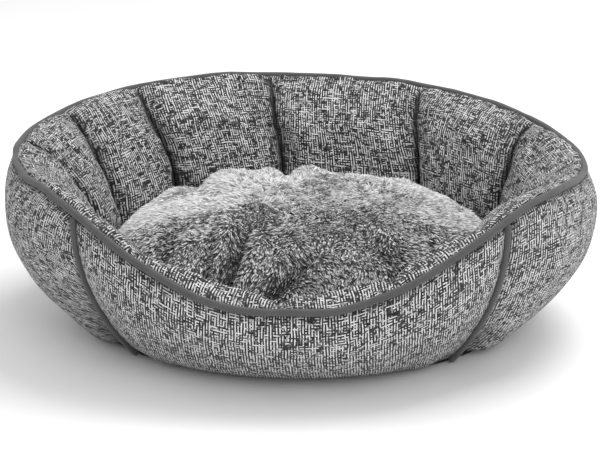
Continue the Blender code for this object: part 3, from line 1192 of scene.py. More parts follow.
@dataclass
class OuterWall:
    """The outer wall's linen panels, drawn in at the piping and the base and lightly slack between."""

    form: BedForm
    linen: bpy.types.Material
    back_seam: float = math.radians(180.0)
    columns_per_turn: float = 58.0
    rows: int = 40
    thickness: float = 0.0014
    edge_roll: float = 0.0042
    edge_reach: float = 0.0050
    shade_reach: float = 0.0055
    base_height: float = 0.0028
    bench: ClothBench = field(
        default_factory=lambda: ClothBench(pressure=3.0, growth=0.008, stiffness=25.0, bending=1.0, cap=0.005)
    )

    def span(self, panel: OuterPanel) -> tuple[float, float]:
        """First and last angle of a panel."""
        spans = {
            OuterPanel.FRONT: (-self.form.seam_angle, self.form.seam_angle),
            OuterPanel.RIGHT: (self.form.seam_angle, self.back_seam),
            OuterPanel.LEFT: (-self.back_seam, -self.form.seam_angle),
        }
        return spans[panel]

    def grid(self, panel: OuterPanel) -> tuple[np.ndarray, np.ndarray, np.ndarray, int]:
        """A panel's points, UV places, painted shade along its seams, rim, base and tucks, and number of
        columns.

        Args:
            panel: The panel.

        Returns:
            Those four.
        """
        start, end = self.span(panel)
        columns = round((end - start) * self.columns_per_turn)
        angle = np.linspace(start, end, columns)
        low = self.base_height / float(self.form.rim_height(np.array(0.0)))
        share = 1.0 - (1.0 - low) * np.linspace(0.0, 1.0, self.rows) ** 1.05
        angles, shares = np.meshgrid(angle, share)
        heights = self.form.rim_height(angles)
        levels = np.maximum(shares * heights, self.base_height)
        offset = self.form.outer_offset(angles, shares)
        run = self.form.run_per_turn(angles, offset)
        from_side = np.minimum(angles - start, end - angles) * run
        from_rim = (1.0 - shares) * heights
        side_dip = np.exp(-((from_side / self.edge_reach) ** 2))
        seam_dip = side_dip + np.exp(-((from_rim / self.edge_reach) ** 2))
        base_dip = np.exp(-((levels / 0.010) ** 2))
        flat = np.stack([angles * run, levels], axis=-1).reshape(-1, 2)
        slack = waves(flat, 0.085, 40 + len(panel.value)).reshape(angles.shape)
        inside = np.minimum(1.0, from_side / 0.03) * np.minimum(1.0, from_rim / 0.04)
        inside = inside * np.minimum(1.0, levels / 0.02)
        pulls = self._pulls(panel, from_side, levels)
        offset = offset + self.edge_roll * (1.0 - np.minimum(seam_dip, 1.3)) + 0.0012 * slack * inside
        offset = offset - 0.0035 * base_dip + pulls
        points = self.form.place(angles, offset, levels)
        steps = np.linalg.norm(np.diff(points, axis=0), axis=2)
        down = np.vstack([np.zeros(columns), np.cumsum(steps, axis=0)])
        mid = (start + end) / 2.0
        if panel is OuterPanel.FRONT:
            across = (angles - mid) * self.form.run_per_turn(angles * 0.0 + mid, offset)
        else:
            across = np.cumsum(np.pad(np.diff(angles, axis=1) * run[:, 1:], ((0, 0), (1, 0))), axis=1)
        shift = {OuterPanel.FRONT: 0.0, OuterPanel.RIGHT: 3.1, OuterPanel.LEFT: 6.3}[panel]
        cloth = np.stack([across + shift, -down], axis=-1)
        # Painted shade: dark lines beside the side seams and the rim piping, along the base, and in the
        # tucks.
        shade = np.exp(-((from_side / self.shade_reach) ** 2)) + np.exp(-((from_rim / self.shade_reach) ** 2))
        shade = shade + 0.8 * np.exp(-((levels / 0.007) ** 2)) + np.clip(-pulls * 90.0, 0.0, 0.6)
        return points.reshape(-1, 3), cloth.reshape(-1, 2), shade.ravel(), columns

    @staticmethod
    def _pulls(panel: OuterPanel, from_side: np.ndarray, levels: np.ndarray) -> np.ndarray:
        """Soft tucks beside the lower ends of the seam piping.

        Args:
            panel: The panel.
            from_side: Distance from its nearer side seam.
            levels: Height over the floor.

        Returns:
            What to add to the offset.
        """
        low = np.exp(-((levels / 0.045) ** 2))
        depth = 0.004 if panel is OuterPanel.FRONT else 0.013
        tuck = np.exp(-(((from_side - 0.016) / 0.012) ** 2))
        swell = np.exp(-(((from_side - 0.045) / 0.018) ** 2))
        return low * (0.5 * depth * swell - depth * tuck)

    def build(self) -> list[bpy.types.Object]:
        """Settle, thicken and dress the three panels.

        Returns:
            The panels.
        """
        pieces = []
        for panel in OuterPanel:
            points, cloth, shade, columns = self.grid(panel)
            faces = grid_faces(self.rows, columns)
            fixed = np.zeros((self.rows, columns), bool)
            fixed[0] = fixed[-1] = True
            fixed[:, 0] = fixed[:, -1] = True
            settled = self.bench.settle(points, [face[::-1] for face in faces], fixed.ravel())
            settled[:, 2] = np.maximum(settled[:, 2], self.base_height)
            name = panel.value.replace("outer_", "linen_outer_")
            piece = new_mesh(name, settled, [face[::-1] for face in faces], cloth, mended=False)
            shade_folds(piece, shade)
            shell = piece.modifiers.new("thickness", "SOLIDIFY")
            shell.thickness = self.thickness
            shell.offset = -1.0
            smooth_over(piece)
            dress(piece, self.linen)
            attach(piece, BED)
            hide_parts(panel.value)
            grid = settled.reshape(self.rows, columns, 3)
            width = float(np.linalg.norm(np.diff(grid[self.rows // 2], axis=0), axis=1).sum())
            tall = float(np.linalg.norm(np.diff(grid[:, columns // 2], axis=0), axis=1).sum())
            side = float(np.linalg.norm(np.diff(grid[:, 1], axis=0), axis=1).sum())
            flat = (round(width + 0.02, 3), round(max(tall, side) + 0.01, 3))
            area = self._area(grid)
            LOG.info("%s: cloth cut %.3f x %.3f m, %.3f m2", piece.name, *flat, area)
            pieces.append(piece)
        return pieces

    @staticmethod
    def _area(grid: np.ndarray) -> float:
        """Area of a grid of points in square metres."""
        down = grid[1:, :-1] - grid[:-1, :-1]
        right = grid[:-1, 1:] - grid[:-1, :-1]
        return float(np.linalg.norm(np.cross(down, right), axis=2).sum())


# ---------------------------------------------------------------- piping


@dataclass
class Piping:
    """Round piping: cloth folded over a cord, along the rim and down the two front seams."""

    form: BedForm
    cloth: bpy.types.Material
    join_angle: float = math.radians(82.0)
    sides: int = 20
    step: float = 0.0045

    def tube(self, name: str, path: np.ndarray, reference: np.ndarray, radius: float) -> bpy.types.Object:
        """A slightly uneven tube with rounded ends.

        Args:
            name: The piece's name.
            path: Points along its middle.
            reference: A direction across the path at each point.
            radius: Its radius.

        Returns:
            The closed tube.
        """
        runs = np.gradient(path, axis=0)
        runs /= np.linalg.norm(runs, axis=1, keepdims=True)
        lateral = np.cross(runs, reference)
        lateral /= np.linalg.norm(lateral, axis=1, keepdims=True)
        upward = np.cross(lateral, runs)
        length = np.concatenate([[0.0], np.cumsum(np.linalg.norm(np.diff(path, axis=0), axis=1))])
        caps = (0.0, 0.45, 0.75, 0.93)
        centres, sizes, marks, frames = [], [], [], []
        for cap in caps:
            centres.append(path[0] - runs[0] * radius * (1.0 - cap))
            sizes.append(math.sqrt(max(1.0 - (1.0 - cap) ** 2, 0.02)))
            marks.append(length[0] - radius * (1.0 - cap))
            frames.append(0)
        for index in range(len(path)):
            centres.append(path[index])
            sizes.append(1.0)
            marks.append(length[index])
            frames.append(index)
        for cap in reversed(caps):
            centres.append(path[-1] + runs[-1] * radius * (1.0 - cap))
            sizes.append(math.sqrt(max(1.0 - (1.0 - cap) ** 2, 0.02)))
            marks.append(length[-1] + radius * (1.0 - cap))
            frames.append(len(path) - 1)
        turn = np.linspace(0.0, math.tau, self.sides, endpoint=False)
        centres, sizes, marks = np.array(centres), np.array(sizes), np.array(marks)
        along = marks[:, None] + 0.0 * turn
        around = np.broadcast_to(turn, along.shape)
        flat = np.stack([along, around * radius], axis=-1).reshape(-1, 2)
        uneven = 1.0 + 0.03 * waves(flat, 0.012, len(name)).reshape(along.shape)
        size = radius * sizes[:, None] * uneven
        across = np.cos(around)[..., None] * lateral[frames][:, None]
        rim = across + np.sin(around)[..., None] * upward[frames][:, None]
        points = (centres[:, None] + size[..., None] * rim).reshape(-1, 3)
        rings = len(centres)
        faces = []
        for ring in range(rings - 1):
            for side in range(self.sides):
                following = (side + 1) % self.sides
                here, there = ring * self.sides, (ring + 1) * self.sides
                faces.append((here + side, here + following, there + following, there + side))
        faces.append(tuple(range(self.sides)))
        faces.append(tuple((rings - 1) * self.sides + side for side in range(self.sides)))
        folded = np.minimum(around, math.tau - around)
        cloth = np.stack([folded * radius, along], axis=-1).reshape(-1, 2)
        return new_mesh(name, points, faces, cloth)

    def rim_run(self, name: str, low: float, high: float, lift: float) -> bpy.types.Object:
        """Piping along the rim between two angles.

        Args:
            name: The piece's name.
            low: First angle.
            high: Last angle.
            lift: How far both ends ride up, where one run laps over the other.

        Returns:
            The tube.
        """
        count = round((high - low) * 0.28 / self.step)
        angles = np.linspace(low, high, count)
        from_end = np.minimum(angles - low, high - angles) * 0.27
        sway = waves(np.stack([angles * 0.28, angles * 0.0], axis=-1), 0.06, 5 + len(name))
        height = self.form.rim_height(angles) + lift * np.exp(-((from_end / 0.010) ** 2)) + 0.0006 * sway
        path = self.form.place(angles, 0.0006 * sway[::-1], height)
        reference = np.broadcast_to([0.0, 0.0, 1.0], path.shape)
        return self.tube(name, path, reference, self.form.piping_radius)

    def seam_run(self, name: str, angle: float) -> bpy.types.Object:
        """Piping down one front seam, from under the rim to the base.

        Args:
            name: The piece's name.
            angle: Angle of the seam.

        Returns:
            The tube.
        """
        height = float(self.form.rim_height(np.array(angle)))
        radius = self.form.piping_radius
        top = 1.0 - 1.5 * radius / height
        bottom = (radius + 0.0015) / height
        share = np.linspace(top, bottom, round(height / self.step))
        offset = self.form.outer_offset(np.full_like(share, angle), share) + 0.0022
        path = self.form.place(np.full_like(share, angle), offset, share * height)
        outward = self.form.place(angle, 1.0, 0.0) - self.form.place(angle, 0.0, 0.0)
        return self.tube(name, path, np.broadcast_to(outward, path.shape), radius * 0.97)

    def build(self) -> list[bpy.types.Object]:
        """Make and dress the four runs.

        Returns:
            The runs.
        """
        join = self.join_angle
        lap = 0.004 / 0.27
        runs = {
            "rim_piping_back": self.rim_run("piped_rim_back", join, math.tau - join, -0.0015),
            "rim_piping_front": self.rim_run("piped_rim_front", -join - lap, join + lap, 0.0022),
            "seam_piping_left": self.seam_run("piped_seam_left", -self.form.seam_angle),
            "seam_piping_right": self.seam_run("piped_seam_right", self.form.seam_angle),
        }
        for node, piece in runs.items():
            dress(piece, self.cloth)
            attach(piece, BED)
            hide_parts(f"{node}_sleeve", f"{node}_cord")
            LOG.info("%s", piece.name)
        return list(runs.values())


# ---------------------------------------------------------------- the base


@dataclass
class Base:
    """What the bed stands on: grippy base cloth, and a thin lined pad inside the wall."""

    form: BedForm
    linen: bpy.types.Material
    non_slip: bpy.types.Material
    rubber: bpy.types.Material
    thread: bpy.types.Material
    lift: float = 0.0004
    cloth_thickness: float = 0.0012
    rings: int = 26
    spokes: int = 96
    pad_crown: float = 0.0165
    dot_radius: float = 0.0016
    dot_pitch: float = 0.012

    def oval(self, inset: float, shares: np.ndarray) -> np.ndarray:
        """Rings of an oval that follows the foot of the wall.

        Args:
            inset: How far its edge stands inside the wall's outer foot.
            shares: Ring sizes as shares of the edge.

        Returns:
            Points at height 0 by ring and spoke.
        """
        angles = np.linspace(0.0, math.tau, self.spokes, endpoint=False)
        edge = self.form.place(angles, -self.form.tuck(angles) - inset, 0.0)
        centre = np.array([0.0, self.form.centre_y, 0.0])
        return centre + shares[:, None, None] * (edge - centre)

    def skin(self, name: str, rings: np.ndarray) -> bpy.types.Object:
        """A closed piece through rings of points, with both ends filled.

        Args:
            name: The piece's name.
            rings: Points by ring and spoke.

        Returns:
            The piece.
        """
        count, spokes = rings.shape[:2]
        faces = []
        for ring in range(count - 1):
            for spoke in range(spokes):
                following = (spoke + 1) % spokes
                here, there = ring * spokes, (ring + 1) * spokes
                faces.append((here + spoke, here + following, there + following, there + spoke))
        faces.append(tuple(range(spokes)))
        faces.append(tuple((count - 1) * spokes + spoke for spoke in range(spokes)))
        points = rings.reshape(-1, 3)
        return new_mesh(name, points, faces, points[:, :2])

    def base_cloth(self) -> bpy.types.Object:
        """The black cloth on the floor, with its hem turned up a little at the edge.

        Returns:
            The piece.
        """
        shares = np.array([0.02, 0.3, 0.6, 0.85, 0.97, 1.0, 1.0, 0.97, 0.85, 0.6, 0.3, 0.02])
        heights = np.array([0.0] * 5 + [0.3, 0.8] + [1.0] * 5)
        rings = self.oval(0.0005, shares)
        rings[:, :, 2] = self.lift + self.cloth_thickness * heights[:, None]
        piece = self.skin("grip_base_cloth", rings)
        dress(piece, self.non_slip)
        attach(piece, BED)
        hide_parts("base_cloth")
        return piece

    def lined_pad(self) -> bpy.types.Object:
        """The thin pad under the cushion, quilted into its lining and slightly crowned.

        Returns:
            The piece.
        """
        under = np.array([0.02, 0.4, 0.8, 0.95, 0.99])
        over = np.concatenate([[1.0], np.linspace(0.985, 0.02, self.rings)])
        rings = self.oval(self.form.foot_width + 0.0016, np.concatenate([under, over]))
        low = self.lift + self.cloth_thickness + 0.0004
        rings[: len(under), :, 2] = low
        top = rings[len(under) :]
        share = over[:, None]
        crown = low + (self.pad_crown - low) * (1.0 - share**10) ** 0.5
        quilt = np.abs(np.sin((top[:, :, 0] + top[:, :, 1]) * math.pi / 0.075))
        quilt *= np.abs(np.sin((top[:, :, 0] - top[:, :, 1]) * math.pi / 0.075))
        top[:, :, 2] = crown - 0.0028 * (1.0 - quilt**0.35) * (share < 0.97)
        piece = self.skin("lined_floor_pad", rings)
        dress(piece, self.linen)
        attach(piece, BED)
        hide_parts("base_pad", "floor_lining")
        return piece

    def grip_dots(self) -> bpy.types.Object:
        """Rubber dots in staggered rows under the base cloth.

        Returns:
            The piece.
        """
        quarters = np.array([math.pi / 2.0, 0.0])
        edge = self.form.place(quarters, -self.form.tuck(quarters), 0.0)
        host = new_mesh("grip_dots", np.array([[0.0, self.form.centre_y, self.lift]]), [], mended=False)
        tree = DotTree(self.dot_pitch, self.dot_radius, self.rubber).build()
        inputs = {
            "Half width": float(edge[0, 0]) - 0.012,
            "Half depth": -float(edge[1, 1]) + self.form.centre_y - 0.012,
            "Centre Y": self.form.centre_y,
            "Height": self.lift + 0.0001,
        }
        piece = grown(host, tree, inputs)
        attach(piece, BED)
        return piece

    def hem_stitches(self) -> bpy.types.Object:
        """A row of stitches that closes the base cloth to the wall, a little inside its edge.

        Returns:
            The piece.
        """
        angles = np.linspace(0.0, math.tau, 240, endpoint=False)
        path = self.form.place(angles, -self.form.tuck(angles) - 0.007, self.lift - 0.0001)
        edges = [(i, (i + 1) % len(path)) for i in range(len(path))]
        mesh = bpy.data.meshes.new("hem_stitches")
        mesh.from_pydata(path.tolist(), edges, [])
        host = bpy.data.objects.new("hem_stitches", mesh)
        bpy.context.scene.collection.objects.link(host)
        tree = StitchTree(self.thread).build()
        piece = grown(host, tree, {"Stitch length": 0.0032, "Stitch pitch": 0.0045, "Thread radius": 0.00035})
        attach(piece, BED)
        return piece

    def build(self) -> list[bpy.types.Object]:
        """Make the whole base.

        Returns:
            Its pieces.
        """
        pieces = [self.base_cloth(), self.lined_pad(), self.grip_dots(), self.hem_stitches()]
        for piece in pieces:
            LOG.info("%s", piece.name)
        return pieces


# ---------------------------------------------------------------- geometry node trees


class Loom:
    """Builds one Geometry Nodes tree with named inputs."""

    def __init__(self, name: str, inputs: dict[str, tuple[str, Any]]) -> None:
        """Start a tree with a geometry input and output.

        Args:
            name: The tree's name.
            inputs: Socket type and default by input name.
        """
        self.tree = bpy.data.node_groups.new(name, "GeometryNodeTree")
        face = self.tree.interface
        face.new_socket("Geometry", in_out="INPUT", socket_type="NodeSocketGeometry")
        for key, (kind, default) in inputs.items():
            socket = face.new_socket(key, in_out="INPUT", socket_type=kind)
            socket.default_value = default
        face.new_socket("Geometry", in_out="OUTPUT", socket_type="NodeSocketGeometry")
        self.given = self.tree.nodes.new("NodeGroupInput")

    def add(
        self, kind: str, settings: Optional[dict[str, Any]] = None, sockets: Optional[dict[Any, Any]] = None
    ) -> bpy.types.Node:
        """Add a node.

        Args:
            kind: The node's type.
            settings: Attributes, set first.
            sockets: Values, output sockets, or tree input names in "<...>", by input name or number.

        Returns:
            The node.
        """
        node = self.tree.nodes.new(kind)
        for key, value in (settings or {}).items():
            setattr(node, key, value)
        for key, value in (sockets or {}).items():
            if isinstance(value, str) and value.startswith("<"):
                self.tree.links.new(self.given.outputs[value[1:-1]], node.inputs[key])
            elif isinstance(value, bpy.types.NodeSocket):
                self.tree.links.new(value, node.inputs[key])
            else:
                node.inputs[key].default_value = value
        return node

    def maths(self, operation: str, *values: Any) -> bpy.types.NodeSocket:
        """A Math node's result."""
        return self.add("ShaderNodeMath", {"operation": operation}, dict(enumerate(values))).outputs[0]

    def vector(self, operation: str, *values: Any, scale: Any = None) -> bpy.types.NodeSocket:
        """A Vector Math node's result.

        Args:
            operation: Its operation.
            values: Its vectors in order.
            scale: Its scale, for SCALE.

        Returns:
            The result.
        """
        sockets = dict(enumerate(values))
        if scale is not None:
            sockets["Scale"] = scale
        node = self.add("ShaderNodeVectorMath", {"operation": operation}, sockets)
        return node.outputs["Value" if operation in ("DOT_PRODUCT", "LENGTH") else "Vector"]

    def close(self, geometry: bpy.types.NodeSocket, material: bpy.types.Material) -> bpy.types.NodeTree:
        """End the tree: real geometry, one material.

        Args:
            geometry: What the tree has made.
            material: The finish of all of it.

        Returns:
            The tree.
        """
        real = self.add("GeometryNodeRealizeInstances", None, {0: geometry})
        done = self.add("GeometryNodeSetMaterial", None, {"Geometry": real.outputs[0], "Material": material})
        out = self.tree.nodes.new("NodeGroupOutput")
        self.tree.links.new(done.outputs[0], out.inputs[0])
        return self.tree


def grown(host: bpy.types.Object, tree: bpy.types.NodeTree, inputs: dict[str, Any]) -> bpy.types.Object:
    """Run a tree on a host and keep the result as a plain mesh.

    Args:
        host: The object that the tree starts from; it becomes the result.
        tree: The Geometry Nodes tree.
        inputs: Values of its named inputs.

    Returns:
        The host with its new mesh and no modifier.
    """
    growth = host.modifiers.new("growth", "NODES")
    growth.node_group = tree
    names = {item.name: item.identifier for item in tree.interface.items_tree if item.in_out == "INPUT"}
    for key, value in inputs.items():
        growth[names[key]] = value
    graph = bpy.context.evaluated_depsgraph_get()
    mesh = bpy.data.meshes.new_from_object(host.evaluated_get(graph), depsgraph=graph)
    host.modifiers.clear()
    old = host.data
    host.data = mesh
    mesh.name = host.name
    bpy.data.meshes.remove(old)
    return host


@dataclass(frozen=True)
class DotTree:
    """Low round dots on a staggered grid inside an oval."""

    pitch: float
    radius: float
    material: bpy.types.Material

    def build(self) -> bpy.types.NodeTree:
        """Grid of points, every second row shifted, kept inside the oval, one small dome on each.

        Returns:
            The tree.
        """
        sizes = {"Half width": 0.2, "Half depth": 0.15, "Centre Y": 0.0, "Height": 0.0}
        loom = Loom("grip_dot_grid", {key: ("NodeSocketFloat", value) for key, value in sizes.items()})
        lines = 44
        span = self.pitch * (lines - 1)
        spread = {"Size X": span, "Size Y": span, "Vertices X": lines, "Vertices Y": lines}
        grid = loom.add("GeometryNodeMeshGrid", None, spread)
        place = loom.add("ShaderNodeSeparateXYZ", None, {0: loom.add("GeometryNodeInputPosition").outputs[0]})
        row = loom.maths("ROUND", loom.maths("DIVIDE", place.outputs[1], self.pitch))
        odd = loom.maths("MULTIPLY", loom.maths("FLOORED_MODULO", row, 2.0), self.pitch * 0.5)
        x = loom.maths("ADD", place.outputs[0], odd)
        y = loom.maths("ADD", place.outputs[1], "<Centre Y>")
        spot = loom.add("ShaderNodeCombineXYZ", None, {0: x, 1: y, 2: "<Height>"})
        shifted = {"Geometry": grid.outputs[0], "Position": spot.outputs[0]}
        moved = loom.add("GeometryNodeSetPosition", None, shifted)
        after = loom.add("ShaderNodeSeparateXYZ", None, {0: loom.add("GeometryNodeInputPosition").outputs[0]})
        share_x = loom.maths("DIVIDE", after.outputs[0], "<Half width>")
        share_y = loom.maths("DIVIDE", loom.maths("SUBTRACT", after.outputs[1], "<Centre Y>"), "<Half depth>")
        square_x = loom.maths("MULTIPLY", share_x, share_x)
        squares = loom.maths("ADD", square_x, loom.maths("MULTIPLY", share_y, share_y))
        outside = loom.maths("GREATER_THAN", squares, 1.0)
        cut = {"Geometry": moved.outputs[0], "Selection": outside}
        kept = loom.add("GeometryNodeDeleteGeometry", {"domain": "POINT"}, cut)
        dome = loom.add("GeometryNodeMeshUVSphere", None, {"Segments": 8, "Rings": 5, "Radius": self.radius})
        pressed = {"Geometry": dome.outputs[0], "Scale": (1.0, 1.0, 0.3)}
        flat = loom.add("GeometryNodeTransform", None, pressed)
        set_out = {"Points": kept.outputs[0], "Instance": flat.outputs[0]}
        dots = loom.add("GeometryNodeInstanceOnPoints", None, set_out)
        return loom.close(dots.outputs[0], self.material)


@dataclass(frozen=True)
class StitchTree:
    """Short thread stitches spaced along a line of edges."""

    material: bpy.types.Material

    def build(self) -> bpy.types.NodeTree:
        """Even points on the line, one small slanted bead of thread on each.

        Returns:
            The tree.
        """
        sizes = {"Stitch length": 0.003, "Stitch pitch": 0.0045, "Thread radius": 0.0004}
        loom = Loom("stitch_line", {key: ("NodeSocketFloat", value) for key, value in sizes.items()})
        line = loom.add("GeometryNodeMeshToCurve", None, {0: "<Geometry>"})
        spacing = {"Curve": line.outputs[0], "Length": "<Stitch pitch>"}
        even = loom.add("GeometryNodeResampleCurve", {"mode": "LENGTH"}, spacing)
        spots = loom.add("GeometryNodeCurveToPoints", {"mode": "EVALUATED"}, {"Curve": even.outputs[0]})
        bead = loom.add("GeometryNodeMeshUVSphere", None, {"Segments": 6, "Rings": 6, "Radius": 1.0})
        half = loom.maths("MULTIPLY", "<Stitch length>", 0.5)
        size = loom.add("ShaderNodeCombineXYZ", None, {0: "<Thread radius>", 1: "<Thread radius>", 2: half})
        drawn = {"Geometry": bead.outputs[0], "Scale": size.outputs[0]}
        sized = loom.add("GeometryNodeTransform", None, drawn)
        stitches = loom.add(
            "GeometryNodeInstanceOnPoints",
            None,
            {"Points": spots.outputs[0], "Instance": sized.outputs[0], "Rotation": spots.outputs["Rotation"]},
        )
        return loom.close(stitches.outputs[0], self.material)


@dataclass(frozen=True)
class PileTree:
    """Short plush tufts that lie over in a swirling direction, packed all over a surface."""

    material: bpy.types.Material
    sides: int = 3
    segments: int = 2

    def build(self) -> bpy.types.NodeTree:
        """Scatter points, lay each tuft along the pile, vary its length, and store its own tone and its share
        of painted light.

        Returns:
            The tree.
        """
        sizes: dict[str, tuple[str, Any]] = {
            "Density": ("NodeSocketFloat", 1000.0),
            "Length": ("NodeSocketFloat", 0.009),
            "Width": ("NodeSocketFloat", 0.0012),
            "Lean": ("NodeSocketFloat", 1.2),
            "Swirl": ("NodeSocketFloat", 1.0),
            # Where the pile's painted light begins, and how that line slants.
            "Ridge": ("NodeSocketFloat", 0.0),
            "Ridge slant": ("NodeSocketFloat", 0.0),
            "Flow": ("NodeSocketFloat", 1.0),
            "Seed": ("NodeSocketInt", 0),
        }
        loom = Loom("plush_pile", sizes)
        points = loom.add(
            "GeometryNodeDistributePointsOnFaces",
            {"distribute_method": "RANDOM"},
            {"Mesh": "<Geometry>", "Density": "<Density>", "Seed": "<Seed>"},
        )
        place = loom.add("GeometryNodeInputPosition").outputs[0]
        drift = {"Vector": place, "Scale": 16.0, "Detail": 2.0}
        broad = loom.add("ShaderNodeTexNoise", None, drift).outputs[1]
        ruffle = {"Vector": place, "Scale": 95.0, "Detail": 1.0}
        fine = loom.add("ShaderNodeTexNoise", None, ruffle).outputs[1]
        broad = loom.vector("SCALE", loom.vector("SUBTRACT", broad, (0.5, 0.5, 0.5)), scale=3.2)
        fine = loom.vector("SCALE", loom.vector("SUBTRACT", fine, (0.5, 0.5, 0.5)), scale=2.2)
        swirl = loom.vector("SCALE", loom.vector("ADD", broad, fine), scale="<Swirl>")
        outward = loom.vector("SCALE", loom.vector("MULTIPLY", place, (2.2, 2.2, 0.0)), scale="<Flow>")
        heading = loom.vector("ADD", loom.vector("ADD", swirl, outward), (0.0, -0.35, -0.30))
        normal = points.outputs["Normal"]
        along = loom.vector("DOT_PRODUCT", heading, normal)
        flat = loom.vector("SUBTRACT", heading, loom.vector("SCALE", normal, scale=along))
        lean = loom.vector("SCALE", loom.vector("NORMALIZE", flat), scale="<Lean>")
        direction = loom.vector("ADD", normal, lean)
        stray = {0: (-0.35, -0.35, -0.25), 1: (0.35, 0.35, 0.35), "Seed": 5}
        jitter = loom.add("FunctionNodeRandomValue", {"data_type": "FLOAT_VECTOR"}, stray)
        direction = loom.vector("NORMALIZE", loom.vector("ADD", direction, jitter.outputs[0]))
        first = loom.add("FunctionNodeAlignRotationToVector", {"axis": "Z"}, {"Vector": direction})
        turned = loom.add(
            "FunctionNodeAlignRotationToVector",
            {"axis": "X", "pivot_axis": "Z"},
            {"Rotation": first.outputs[0], "Vector": normal},
        )
        vary = loom.add("FunctionNodeRandomValue", {"data_type": "FLOAT"}, {2: 0.65, 3: 1.25, "Seed": 7})
        length = loom.maths("MULTIPLY", "<Length>", vary.outputs[1])
        girth = loom.add("FunctionNodeRandomValue", {"data_type": "FLOAT"}, {2: 0.7, 3: 1.3, "Seed": 11})
        width = loom.maths("MULTIPLY", "<Width>", girth.outputs[1])
        thin = loom.maths("MULTIPLY", width, 0.6)
        size = loom.add("ShaderNodeCombineXYZ", None, {0: thin, 1: width, 2: length})
        own = loom.add("FunctionNodeRandomValue", {"data_type": "FLOAT"}, {2: 0.0, 3: 1.0, "Seed": 13})
        toned = loom.add(
            "GeometryNodeStoreNamedAttribute",
            {"data_type": "FLOAT", "domain": "POINT"},
            {"Geometry": points.outputs[0], "Name": "own_tone", "Value": own.outputs[1]},
        )
        # Painted light: a share that is 1 behind a slanted line across the top and 0 in front, weaker to the
        # right, stored for the plush's lit and shaded stops.
        spot = loom.add("ShaderNodeSeparateXYZ", None, {0: place})
        ragged = {"Vector": place, "Scale": 38.0, "Detail": 3.0}
        wander = loom.add("ShaderNodeTexNoise", None, ragged).outputs[0]
        slant = loom.maths("MULTIPLY", spot.outputs[0], "<Ridge slant>")
        behind = loom.maths("SUBTRACT", spot.outputs[1], slant)
        behind = loom.maths("SUBTRACT", behind, "<Ridge>")
        behind = loom.maths("ADD", behind, loom.maths("MULTIPLY", loom.maths("SUBTRACT", wander, 0.5), 0.05))
        brushed = loom.add(
            "ShaderNodeMapRange",
            {"interpolation_type": "SMOOTHSTEP"},
            {"Value": behind, "From Min": -0.014, "From Max": 0.008},
        ).outputs[0]
        rightward = loom.maths("ADD", behind, loom.maths("MULTIPLY", spot.outputs[0], 0.45))
        right_light_falloff = loom.add(
            "ShaderNodeMapRange",
            {"interpolation_type": "SMOOTHSTEP"},
            {"Value": rightward, "From Min": 0.030, "From Max": 0.110, "To Min": 1.0, "To Max": 0.66},
        ).outputs[0]
        brushed = loom.maths("MULTIPLY", brushed, right_light_falloff)
        toned = loom.add(
            "GeometryNodeStoreNamedAttribute",
            {"data_type": "FLOAT", "domain": "POINT"},
            {"Geometry": toned.outputs[0], "Name": "nap", "Value": brushed},
        )
        tufts = loom.add(
            "GeometryNodeInstanceOnPoints",
            None,
            {
                "Points": toned.outputs[0],
                "Instance": self._tuft(loom),
                "Rotation": turned.outputs[0],
                "Scale": size.outputs[0],
            },
        )
        return loom.close(tufts.outputs[0], self.material)

    def _tuft(self, loom: Loom) -> bpy.types.NodeSocket:
        """One unit tuft: a tapered three-sided spike, widest below its middle and bent over at its tip.

        Args:
            loom: The tree that it is made in.

        Returns:
            Its geometry.
        """
        cone = loom.add(
            "GeometryNodeMeshCone",
            {"fill_type": "NGON"},
            {
                "Vertices": self.sides,
                "Side Segments": self.segments,
                "Radius Top": 0.0,
                "Radius Bottom": 0.8,
                "Depth": 1.0,
            },
        )
        spot = loom.add("ShaderNodeSeparateXYZ", None, {0: loom.add("GeometryNodeInputPosition").outputs[0]})
        rise = spot.outputs[2]
        round_out = loom.maths("SINE", loom.maths("MULTIPLY", rise, math.pi))
        swell = loom.maths("ADD", loom.maths("MULTIPLY", round_out, 1.3), 1.0)
        droop = loom.maths("MULTIPLY", loom.maths("MULTIPLY", rise, rise), -1.6)
        x = loom.maths("ADD", loom.maths("MULTIPLY", spot.outputs[0], swell), droop)
        y = loom.maths("MULTIPLY", spot.outputs[1], swell)
        bent = loom.add("ShaderNodeCombineXYZ", None, {0: x, 1: y, 2: rise})
        bowed = {"Geometry": cone.outputs[0], "Position": bent.outputs[0]}
        shaped = loom.add("GeometryNodeSetPosition", None, bowed)
        marked = loom.add(
            "GeometryNodeStoreNamedAttribute",
            {"data_type": "FLOAT", "domain": "POINT"},
            {"Geometry": shaped.outputs[0], "Name": "reach", "Value": rise},
        )
        return marked.outputs[0]


# ---------------------------------------------------------------- the cushion


